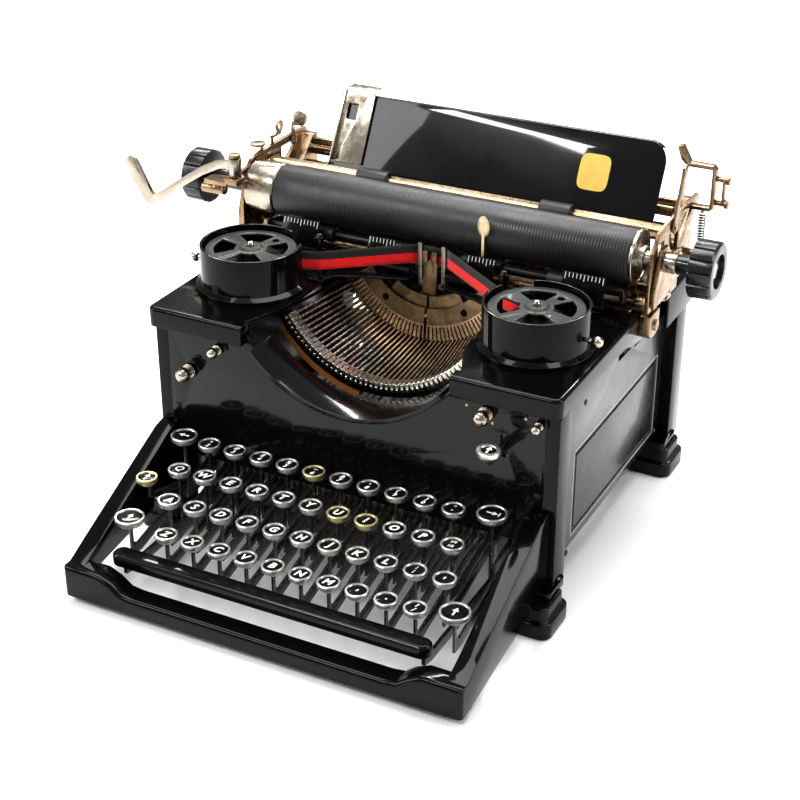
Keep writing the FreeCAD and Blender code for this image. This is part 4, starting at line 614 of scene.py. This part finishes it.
def arc_plate(r_in, r_out, half_angle, steps, front, thick, gap_at=None, gap=0.0):
    """A flat curved plate below the origin, open over one angle where a bar swings through.

    Radii and thicknesses are in millimetres, angles in degrees, and front is its lowest y.
    """
    plate = bmesh.new()
    edges = []
    for y in (front, front + thick):
        ends = [plate.verts.new((0, y * MM, -r * MM)) for r in (r_in, r_out)]
        edges.append(plate.edges.new(ends))
    plate.edges.new((edges[0].verts[0], edges[1].verts[0]))
    plate.edges.new((edges[0].verts[1], edges[1].verts[1]))
    spans = [(-half_angle, half_angle)]
    if gap_at is not None:
        spans = [(-half_angle, gap_at - gap / 2), (gap_at + gap / 2, half_angle)]
    pieces = bmesh.new()
    for start, end in spans:
        span = plate.copy()
        count = max(2, round(steps * (end - start) / (2 * half_angle)))
        bmesh.ops.rotate(span, verts=span.verts, cent=(0, 0, 0),
                         matrix=Matrix.Rotation(math.radians(-start), 3, "Y"))
        bmesh.ops.spin(span, geom=span.verts[:] + span.edges[:], cent=(0, 0, 0),
                       axis=(0, 1, 0), angle=math.radians(start - end), steps=count)
        bmesh.ops.holes_fill(span, edges=[e for e in span.edges if e.is_boundary])
        bmesh.ops.recalc_face_normals(span, faces=span.faces)
        place(pieces, span, Matrix.Identity(4))
    plate.free()
    return pieces


SEGMENT_FRONT = -5.0
BAR_CLEARANCE = 2.2
# Each cover plate has its two radii, half angle, steps, front, thickness, the radius at which its
# opening for the working bar is measured, and its finish.
COVER_PLATES = (
    (46.5, 58.0, BAR_FAN + 3.5, 48, SEGMENT_FRONT, 0.55, 52, 0),
    (38.8, 46.9, 34.5, 30, -2.0, 0.55, 43, 0),
    # The thin third ring, in the teeth's bright metal, is a painted highlight along the cover
    # plate's outer edge.
    (57.6, 58.6, BAR_FAN + 3.5, 60, -5.25, 0.4, 52, 1),
)
for r_in, r_out, half_angle, steps, front, thick, gap_r, number in COVER_PLATES:
    plate = arc_plate(r_in, r_out, half_angle, steps, front, thick, bar_angles[WORKING_BAR],
                      math.degrees(BAR_CLEARANCE / gap_r))
    place(segment_work, plate, basket, number)
EYE_ANGLE, EYE_AT_R, EYE_R = 33, 52.5, 2.5
for eye_angle in (-EYE_ANGLE, EYE_ANGLE):
    eye = (basket @ Matrix.Rotation(math.radians(-eye_angle), 4, "Y")
           @ at_mm(0, SEGMENT_FRONT, -EYE_AT_R))
    place(segment_work, turned([(0, -0.3), (EYE_R, -0.3), (EYE_R, 0.06), (0, 0.06)], steps=20),
          eye @ FACING_FRONT, 2)
TOOTH_IN, TOOTH_OUT = 58.4, 67.6
BAR_SLOT, WORKING_BAR_SLOT = 0.9, 2.0
for k in range(BAR_COUNT - 1):
    slot = WORKING_BAR_SLOT if WORKING_BAR in (k, k + 1) else BAR_SLOT
    tooth = bmesh.new()
    bmesh.ops.create_cube(tooth, size=1.0)
    middle = math.radians((bar_angles[k] + bar_angles[k + 1]) / 2)
    for vert in tooth.verts:
        r = TOOTH_IN if vert.co.z > 0 else TOOTH_OUT
        width = math.radians(bar_step) * r - slot
        y = SEGMENT_FRONT + 0.5 * (vert.co.y + 0.5)
        vert.co = Vector((vert.co.x * width, y, -r)) * MM
    bmesh.ops.bevel(tooth, geom=tooth.edges[:], offset=0.12 * MM, segments=1, profile=0.5,
                    affect="EDGES", clamp_overlap=True, material=-1)
    place(segment_work, tooth, basket @ Matrix.Rotation(-middle, 4, "Y"), 1)
eye_black = lacquer("eye_black", coat=0.0, smooth=0.6, dull=0.8, specular=0.1)
stands_for(segment_work, "segment", segment_metal, tooth_metal, eye_black)


# The type head pad: a curved strip of brown felt, glued along the outside of the type rest's left
# half. It deadens the bars' return.
PAD_TURN = 30
felt = rubber("felt", (0.34, 0.13, 0.03), low=0.8, high=0.95)
pad = arc_plate(86.1, 92.0, 22.0, 24, -68.0, 10.0)
bmesh.ops.rotate(pad, verts=pad.verts, cent=(0, 0, 0),
                 matrix=Matrix.Rotation(math.radians(PAD_TURN), 3, "Y"))
pad_work = bmesh.new()
place(pad_work, pad, basket)
as_piece(pad_work, "type_head_pad", "machine", felt)


# The platen and the rollers: black rubber on steel cores, the platen's ringed with fine turning
# marks. Its ends are nickel, with a ribbed rubber knob at each side.
platen_rubber = rubber("platen_rubber", ring_pitch=0.0021, ring_depth=0.00012)
roller_rubber = rubber("roller_rubber")
knob_rubber = rubber("knob_rubber", (0.006, 0.006, 0.006), low=0.16, high=0.34)
finished("platen", platen_rubber, 0.4)
finished("bail_rollers", roller_rubber, 0.8, segments=3)
finished("feed_rollers", roller_rubber, 0.5)
KNOBS_FROM = 150


def is_knob(low, high):
    """Whether a loose piece is one of the two ribbed knobs."""
    return high.z - low.z > 30 and (high.x < -KNOBS_FROM or low.x > KNOBS_FROM)


ends_work = in_finish(merged("platen_fittings"), 1, is_knob)
stands_for(round_edges(ends_work, 0.5, 3), "platen_fittings", nickel, knob_rubber)


# The paper table: a sheet of black japanned steel that leans back behind the platen on two
# brackets. A plain gold transfer is laid on its face, right of the middle.
table_japan = lacquer("table_japan", smooth=0.12, dull=0.32, coat=0.6)
table_work = in_finish(merged("paper_table"), 1, lambda low, high: high.x - low.x < 10)
table_face = BVHTree.FromBMesh(table_work)
TRANSFER_AT = (82.8, 218.5)
TRANSFER_R = 11.0
TRANSFER_HALF_W, TRANSFER_HALF_H = 10.5, 12.0
SQUARENESS = 5
in_front = Vector((TRANSFER_AT[0], 0, TRANSFER_AT[1])) * MM
struck, facing, _, _ = table_face.ray_cast(in_front, Vector((0, 1, 0)))
transfer = turned([(0, 0), (TRANSFER_R, 0), (TRANSFER_R, 0.12), (0, 0.12)], steps=40)
for vert in transfer.verts:
    across, along = vert.co.x / (TRANSFER_R * MM), vert.co.y / (TRANSFER_R * MM)
    reach = abs(across) ** SQUARENESS + abs(along) ** SQUARENESS
    fuller = 1.0 / max(reach, 0.2) ** (1 / SQUARENESS)
    vert.co.xy = Vector((across * TRANSFER_HALF_W, along * TRANSFER_HALF_H)) * fuller * MM
upright = facing.to_track_quat("Z", "Y").to_matrix().to_4x4()
round_edges(table_work, 0.4)
gold = paint("transfer_gold", (0.66, 0.42, 0.05), 0.35)
place(table_work, transfer, Matrix.Translation(struck) @ upright, 2)
stands_for(table_work, "paper_table", table_japan, bronze, gold)


# The scales: four plates of black steel that lean back before the platen, two on each of two cross
# bars. Their white ticks are painted, a letter's width apart.
CHARACTER_PITCH = 2.54
SCALE_LEAN = 0.42
SCALE_FOOT_Y, SCALE_FOOT_Z = 7.6, 161.2
SCALE_PLATES = ((-112, -84, 178), (92, 121, 178), (-46, -26, 176), (26, 46, 176))
TICK_HALF_W = 0.22
scale_white = paint("scale_white", (0.80, 0.79, 0.74))
scales_work = round_edges(merged("line_scales"), 0.3)
shear = Matrix.Identity(4)
shear[1][2] = SCALE_LEAN
for x0, x1, top in SCALE_PLATES:
    count = int((x1 - x0 - 2) / CHARACTER_PITCH)
    y_top = SCALE_FOOT_Y + (top - SCALE_FOOT_Z) * SCALE_LEAN
    for k in range(count + 1):
        x = (x0 + x1) / 2 + (k - count / 2) * CHARACTER_PITCH
        long = 4.4 if k % 5 == 0 else 3.2
        tick = block((x - TICK_HALF_W, -0.1, -long), (x + TICK_HALF_W, 0.1, -0.4))
        place(scales_work, tick, at_mm(0, y_top, top) @ shear, 1)


# The card finger: a cream leaf of plated steel at the top of a thin upright strip, fixed to the
# right inner scale plate. It belongs to the scales' piece.
FINGER_X, FINGER_Y = 36.4, 14.2
LEAF_Z = 196.5
STRIP_FOOT, STRIP_TOP = 176.5, 192.0
finger_work = bmesh.new()
leaf = turned([(0, 0.35), (3.2, 0.28), (4.2, 0), (3.2, -0.28), (0, -0.35)], steps=24)
for vert in leaf.verts:
    vert.co.y *= 1.9 if vert.co.y > 0 else 1.5
place(finger_work, leaf, at_mm(FINGER_X, FINGER_Y, LEAF_Z) @ FACING_FRONT, 2)
finger_strip = block((FINGER_X - 1.0, FINGER_Y - 0.5, STRIP_FOOT),
                     (FINGER_X + 1.0, FINGER_Y + 0.2, STRIP_TOP))
place(finger_work, round_edges(finger_strip, 0.15, 1), Matrix.Identity(4), 2)
place(scales_work, finger_work, Matrix.Identity(4), 2)
finger_cream = plated("finger_cream", (0.74, 0.63, 0.42), (0.52, 0.40, 0.22), low=0.3, high=0.5,
                      spots=80.0, share=0.6)
stands_for(scales_work, "line_scales", black_steel, scale_white, finger_cream)


# The paper bail: a pale nickel-silver bar that holds the paper down, with two rubber rollers on
# swinging arms. Its scale is printed in dark ink, with a number at every tenth place.
bail_metal = plated("bail_metal", (0.50, 0.40, 0.27), (0.30, 0.21, 0.12), low=0.22, high=0.4,
                    spots=60.0, share=0.6)
scale_ink = paint("scale_ink", (0.05, 0.035, 0.02))
BAIL_Y, BAIL_Z = 56.0, 198.55
bail_work = round_edges(merged("paper_bail"), 0.25)
face_low = Vector((0, BAIL_Y - 3.4, BAIL_Z - 3.2))
face_high = Vector((0, BAIL_Y + 1.8, BAIL_Z + 3.4))
along = (face_high - face_low).normalized()
out = Vector((0, -along.z, along.y))
bail_face = at_mm(*face_low) @ Matrix(((1, 0, 0, 0), (0, along.y, out.y, 0),
                                       (0, along.z, out.z, 0), (0, 0, 0, 1)))
CAP_SHARE = 0.69


def lettering(words, height, lean=0.22, bold=0.03, thick=0.03):
    """Letters of a cap height in millimetres as a thin mesh, centred at the origin, facing +Z.

    A capital in the built-in font is CAP_SHARE of its size.
    """
    curve = bpy.data.curves.new("letters", "FONT")
    curve.body = words
    curve.size = 1.0
    curve.shear = lean
    curve.offset = bold
    curve.resolution_u = 2
    holder = bpy.data.objects.new("letters", curve)
    mesh = bpy.data.meshes.new_from_object(holder)
    part = bmesh.new()
    part.from_mesh(mesh)
    bpy.data.objects.remove(holder)
    bpy.data.meshes.remove(mesh)
    bpy.data.curves.remove(curve)
    bmesh.ops.remove_doubles(part, verts=part.verts, dist=1e-5)
    xs = [v.co.x for v in part.verts]
    ys = [v.co.y for v in part.verts]
    size = height * MM / CAP_SHARE
    middle = Vector(((min(xs) + max(xs)) / 2, (min(ys) + max(ys)) / 2, 0))
    bmesh.ops.transform(part, verts=part.verts,
                        matrix=Matrix.Diagonal((size, size, 1, 1)) @ Matrix.Translation(-middle))
    flat = part.faces[:]
    bmesh.ops.recalc_face_normals(part, faces=flat)
    raised = bmesh.ops.extrude_face_region(part, geom=flat)
    tops = [v for v in raised["geom"] if isinstance(v, bmesh.types.BMVert)]
    bmesh.ops.translate(part, verts=tops, vec=(0, 0, thick * MM))
    bmesh.ops.recalc_face_normals(part, faces=part.faces)
    return part


FIRST_PLACE, LAST_PLACE = -50, 53
UNDER_ROLLERS = ((-76, -53), (58, 80))
for k in range(FIRST_PLACE, LAST_PLACE + 1):
    x = k * CHARACTER_PITCH
    if any(a - 1.5 < x < b + 1.5 for a, b in UNDER_ROLLERS):
        continue
    long = 3.0 if k % 5 == 0 else 2.0
    place(bail_work, block((x - 0.14, 0.5, -0.03), (x + 0.14, 0.5 + long, 0.05)), bail_face, 1)
    if k % 10 == 0:
        digits = lettering(str((k - FIRST_PLACE) // 10 * 10), 2.2, lean=0.0)
        place(bail_work, digits, bail_face @ at_mm(x, 5.6, 0), 1)
stands_for(bail_work, "paper_bail", bail_metal, scale_ink)


# Spool cups and spools: pressed steel cups in black japan, and thin enamelled spools whose petals
# are rubbed grey. The wound ribbon shows between a spool's two flanges.
spool_enamel = lacquer("spool_enamel", colour=(0.04, 0.04, 0.038), smooth=0.3, dull=0.5,
                       worn=(0.28, 0.27, 0.25), wear_width=0.0012, coat=0.1, dust_amount=0.3)
wound_cloth = rubber("wound_cloth", (0.012, 0.008, 0.008), low=0.7, high=0.9)
finished("spool_cups", black_japan, 0.5, segments=3)
finished("ribbon_guides", black_japan, 0.4)
for side in ("left", "right"):
    spool_work = in_finish(merged(f"spool_{side}"), 1, lambda low, high: high.x - low.x < 50)
    stands_for(round_edges(spool_work, 0.25), f"spool_{side}", spool_enamel, wound_cloth)


# The ribbon: inked cotton tape, black above and red below, drawn from each spool round its guide
# post to the carrier, which holds a short length upright before the platen.
def woven_ribbon():
    material, tree, shader = new_finish("inked_ribbon")
    links = tree.links
    where = new_node(tree, "UVMap", uv_map="tape")
    split = new_node(tree, "SeparateXYZ")
    links.new(where.outputs["UV"], split.inputs["Vector"])
    band = new_node(tree, "MapRange", {"From Min": 0.53, "From Max": 0.56})
    links.new(split.outputs["Y"], band.inputs["Value"])
    weave = new_node(tree, "TexWave", {"Scale": 900.0}, wave_type="BANDS", bands_direction="X")
    cross = new_node(tree, "TexWave", {"Scale": 24.0}, wave_type="BANDS", bands_direction="Y")
    links.new(where.outputs["UV"], weave.inputs["Vector"])
    links.new(where.outputs["UV"], cross.inputs["Vector"])
    both = new_node(tree, "Math", operation="ADD")
    links.new(weave.outputs["Fac"], both.inputs[0])
    links.new(cross.outputs["Fac"], both.inputs[1])
    bump = new_node(tree, "Bump", {"Strength": 0.35, "Distance": 0.00008})
    links.new(both.outputs["Value"], bump.inputs["Height"])
    links.new(bump.outputs["Normal"], shader.inputs["Normal"])
    patches = effect(tree, MOTTLE, {"Scale": 120.0, "Low": 0.0, "High": 0.5})
    red = mixed(tree, patches.outputs["Value"], (0.85, 0.004, 0.004), (0.55, 0.002, 0.002))
    links.new(mixed(tree, band.outputs["Result"], red, (0.006, 0.005, 0.005)),
              shader.inputs["Base Color"])
    shader.inputs["Roughness"].default_value = 0.75
    shader.inputs["Sheen Weight"].default_value = 0.2
    return material


ribbon_cloth = woven_ribbon()
RIBBON_HIGH = 13.0
RIBBON_THICK = 0.16
TAPE_ROWS = 6


def tape(name, plan, body):
    """An upright tape through (x, y, lower edge) places in millimetres, as a thin closed strip."""
    places = [Vector(p) for p in plan]
    work = bmesh.new()
    first = [work.verts.new((places[0] + Vector((0, 0, RIBBON_HIGH * k / TAPE_ROWS))) * MM)
             for k in range(TAPE_ROWS + 1)]
    edges = [work.edges.new(pair) for pair in zip(first, first[1:])]
    layer = work.loops.layers.uv.new("tape")
    run = 0.0
    for here, there in zip(places, places[1:]):
        made = bmesh.ops.extrude_edge_only(work, edges=edges)["geom"]
        moved = [v for v in made if isinstance(v, bmesh.types.BMVert)]
        bmesh.ops.translate(work, verts=moved, vec=(there - here) * MM)
        edges = [e for e in made if isinstance(e, bmesh.types.BMEdge)
                 and all(v in moved for v in e.verts)]
        run += (there - here).length
    for face in work.faces:
        for loop in face.loops:
            co = loop.vert.co / MM
            near = min(range(len(places)), key=lambda k: (places[k].xy - co.xy).length)
            loop[layer].uv = (near / (len(places) - 1), (co.z - places[near].z) / RIBBON_HIGH)
    piece = as_piece(work, name, body, ribbon_cloth, smooth=60)
    thick = piece.modifiers.new("thickness", "SOLIDIFY")
    thick.thickness = RIBBON_THICK * MM
    thick.offset = 0
    return piece, run


CORNER_REACH = 3.0
TAPE_STEP = 6


def eased(points):
    """Places along a path through the points, its inner corners rounded."""
    curve = []
    for k, point in enumerate(points):
        p = Vector(point)
        if 0 < k < len(points) - 1:
            before = p + (Vector(points[k - 1]) - p).normalized() * CORNER_REACH
            after = p + (Vector(points[k + 1]) - p).normalized() * CORNER_REACH
            curve += [before.lerp(p, t).lerp(p.lerp(after, t), t) for t in (0, 0.25, 0.5, 0.75, 1)]
        else:
            curve.append(p)
    full = [curve[0]]
    for here, there in zip(curve, curve[1:]):
        parts = max(1, round((there - here).length / TAPE_STEP))
        full += [here.lerp(there, (j + 1) / parts) for j in range(parts)]
    return full


RIBBON_LOW = 160.6
SPOOL_X, SPOOL_Y = 100, -47
# The ribbon leaves its wound pack at these shares of the pack's radius, inward and backward.
LEAVES_IN, LEAVES_BACK = 0.45, 0.893
GUIDE_X, GUIDE_Y = 64.5, -20.35
CARRIER_Y, CARRIER_Z = 15.55, 163.0
for side, name, pack_r in ((-1, "left", 20.5), (1, "right", 17.5)):
    spool_at = (side * (SPOOL_X - pack_r * LEAVES_IN), SPOOL_Y + pack_r * LEAVES_BACK, RIBBON_LOW)
    guide_at = (side * GUIDE_X, GUIDE_Y, RIBBON_LOW)
    carrier_at = (side * 10.5, CARRIER_Y, CARRIER_Z)
    piece, run = tape(f"ribbon_{name}", eased([spool_at, guide_at, carrier_at]), "machine")
    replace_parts(piece, "ribbon")


# The ribbon carrier: a forked plate of oiled steel that lifts the short length of ribbon between
# its prongs to the printing line. The CAD node's own strip of ribbon is left out for the tape.
CENTRE_HALF = 10.4
carrier_work = only(merged("ribbon_carrier"), lambda low, high: high.z - low.z > 20)
stands_for(round_edges(carrier_work, 0.15), "ribbon_carrier", steel)
centre_plan = [(x, CARRIER_Y, CARRIER_Z) for x in (-CENTRE_HALF, 0, CENTRE_HALF)]
centre, run = tape("ribbon_centre", centre_plan, "ribbon_carrier_body")


# The keys: dark steel levers with thin stems, each under a black card in a crimped nickel ring.
# The white letters are printed on the card. The clear disc that covers the card is left out.
KEY_PITCH = 19.05
KEY_COLUMN_0 = -106.7
KEY_R = 7.3
KEY_HEAD = 4.7
# Each row has its first column, its y, the height of its key tops, and its legends.
ROWS = {
    "number": (1.0, -124.8, 77.2, [('"', "2"), ("#", "3"), ("$", "4"), ("%", "5"), ("_", "6"),
                                   ("&", "7"), ("'", "8"), ("(", "9"), (")", "0"), ("*", "-")]),
    "upper": (0.5, -145.9, 67.1, list("QWERTYUIOP") + [("1/4", "1/2")]),
    "home": (0.75, -165.7, 56.5, list("ASDFGHJKL") + [(":", ";"), "'"]),
    "lower": (1.25, -184.2, 44.4, list("ZXCVBNM") + [",", ".", ("?", "/")]),
}
HOME_KEYS = ["a", "s", "d", "f", "g", "h", "j", "k", "l", "semicolon", "apostrophe"]
# The levers' rubbed edges are pale steel, partly wear and partly a painted highlight along their
# top edges.
lever_steel = lacquer("lever_steel", colour=(0.014, 0.013, 0.012), smooth=0.2, dull=0.38,
                      worn=(0.42, 0.39, 0.34), wear_width=0.0006, coat=0.3, specular=0.6)
ring_nickel = plated("ring_nickel", (0.66, 0.66, 0.64), (0.46, 0.45, 0.42), low=0.26, high=0.38,
                     spots=40.0, share=0.4, pitted=0.03)
ring_yellowed = plated("ring_yellowed", (0.68, 0.60, 0.34), (0.46, 0.38, 0.20), low=0.28,
                       high=0.42, spots=40.0, share=0.5, pitted=0.03)
key_card = lacquer("key_card", colour=(0.003, 0.003, 0.003), smooth=0.3, dull=0.4, coat=0.3,
                   wear_width=0.00001, dust_amount=0.03)
key_ink = paint("key_ink", (0.86, 0.85, 0.80), 0.35)
# A bright finish for the lever faces that turn up to the light: a painted highlight.
lever_painted_highlight = plated("lever_painted_highlight", (0.62, 0.60, 0.56), (0.16, 0.14, 0.12), low=0.2, high=0.4,
                    spots=60.0, share=0.9)
KEY_FINISHES = (ring_nickel, key_card, key_ink, lever_steel, ring_yellowed, lever_painted_highlight)
RING, CARD, INK, LEVER, YELLOWED, PAINTED_LEVER_HIGHLIGHT = range(6)
CRIMPS = 16
CRIMP_SHARE = 0.955
LEGEND_THICK = 0.1
SIGN_PLACES = (2.3, -2.1)


def keytop(work, x, y, z, r, legend, yellowed=False, rim=1.5):
    """A finished key head with its top centre at the place."""
    lip = r - rim
    ring = turned([(0, -1.0), (lip, -1.0), (lip, -0.25), (lip + 0.25, 0), (r - 0.35, 0),
                   (r, -0.35), (r, -2.9), (r - 0.25, -3.4), (r - 1.1, -3.6), (r - 1.4, -KEY_HEAD),
                   (0, -KEY_HEAD)], steps=2 * CRIMPS)
    for vert in ring.verts:
        if -0.0035 < vert.co.z < -0.0028:
            turn = round(math.atan2(vert.co.y, vert.co.x) / (math.pi / CRIMPS))
            if turn % 2:
                vert.co.xy *= CRIMP_SHARE
    place(work, ring, at_mm(x, y, z), YELLOWED if yellowed else RING)
    card = turned([(0, -0.42), (lip * 0.5, -0.46), (lip * 0.85, -0.56), (lip, -0.72), (lip, -1.05),
                   (0, -1.05)], steps=24)
    place(work, card, at_mm(x, y, z), CARD)
    if isinstance(legend, tuple):
        for sign, dy in zip(legend, SIGN_PLACES):
            height = 3.2 if len(sign) < 3 else 2.2
            place(work, lettering(sign, height, thick=LEGEND_THICK),
                  at_mm(x, y + dy, z - 0.52), INK)
    elif legend:
        # The built-in font's Q throws a spike when it is made bolder.
        bold = 0 if legend == "Q" else 0.03
        place(work, lettering(legend, 5.2, bold=bold, thick=LEGEND_THICK),
              at_mm(x, y, z - 0.48), INK)


def arrow(work, x, y, z, turn, bar):
    """A plain arrow for the keys that act instead of print, with or without a bar at its tip."""
    tip = turned([(0, 0), (2.3, 0), (2.3, 0.12), (0, 0.12)], steps=3)
    heading = at_mm(x, y, z - 0.5) @ Matrix.Rotation(math.radians(turn), 4, "Z")
    place(work, tip, heading @ at_mm(1.6, 0, 0), INK)
    place(work, block((-3.6, -0.55, 0), (1.0, 0.55, 0.12)), heading, INK)
    if bar:
        place(work, block((4.3, -2.0, 0), (5.0, 2.0, 0.12)), heading, INK)


def column_x(column):
    return KEY_COLUMN_0 + column * KEY_PITCH


def headless(node, top):
    """A lever node's mesh without the plain heads of its keys.

    A plain head is at most 20 mm across and 6 mm high, and no lever is.
    """
    work = only(merged(node), lambda low, high: high.x - low.x > 20 or high.z - low.z > 6)
    round_edges(work, 0.22, segments=1)
    in_finish(work, LEVER)
    # The narrow sloping faces along a lever's top, turned up to the light, get a bright finish as
    # a painted highlight.
    for face in work.faces:
        if 0.4 < face.normal.z < 0.93 and face.calc_area() < 40 * MM * MM:
            face.material_index = PAINTED_LEVER_HIGHLIGHT
    bmesh.ops.bisect_plane(work, geom=work.verts[:] + work.edges[:] + work.faces[:],
                           plane_co=(0, 0, (top - KEY_HEAD - 0.02) * MM), plane_no=(0, 0, 1),
                           clear_outer=True)
    bmesh.ops.holes_fill(work, edges=[e for e in work.edges if e.is_boundary])
    return work


YELLOWED_KEYS = {"U", "I", "6"}
for row in ("number", "upper", "lower"):
    first, y, z, legends = ROWS[row]
    work = headless(f"key_bank_{row}", z)
    for k, legend in enumerate(legends):
        keytop(work, column_x(first + k), y, z, KEY_R, legend, bool(YELLOWED_KEYS & set(legend)))
    stands_for(work, f"key_bank_{row}", *KEY_FINISHES)
first, y, z, legends = ROWS["home"]
for k, (name, legend) in enumerate(zip(HOME_KEYS, legends)):
    work = headless(f"key_{name}", z)
    keytop(work, column_x(first + k), y, z, KEY_R, legend)
    stands_for(work, f"key_{name}", *KEY_FINISHES)


# The keys that act: back space, tabulator, shift, shift lock and margin release. Most are a size
# larger than the rest, and their cards carry plain arrows.
# Each head has its x, y, top and radius, its arrow's turn in degrees, and whether it has a bar.
ACTING = {
    "key_backspace": [(-106.7, -124.8, 78.5, 8.7, 180, False)],
    "key_tabulator": [(107.6, -122.0, 79.0, 9.5, 0, True)],
    "shift_keys": [(-111.4, -182.0, 47.5, 9.5, 90, False), (112.4, -181.5, 47.5, 9.5, 90, False)],
    "shift_lock": [(-115.0, -156.5, 62.0, 6.9, 90, True)],
    "margin_release_key": [(105.0, -124.0, 122.0, 7.3, 90, False)],
}
for node, heads in ACTING.items():
    work = headless(node, heads[0][2])
    for x, y, z, r, turn, bar in heads:
        keytop(work, x, y, z, r, None, node == "shift_lock",
               rim=2.6 if node == "margin_release_key" else 1.5)
        arrow(work, x, y, z, turn, bar)
    stands_for(work, node, *KEY_FINISHES)


# The space bar: a bar of black enamelled wood, worn brown along its edges, on two steel arms that
# turn on a shaft below the keys.
bar_enamel = lacquer("bar_enamel", smooth=0.25, dull=0.42, coat=0.3, worn=(0.14, 0.11, 0.08))
bar_work = in_finish(merged("space_bar"), 1, lambda low, high: high.z < 31)
stands_for(round_edges(bar_work, 0.5, 3), "space_bar", bar_enamel, lever_steel)
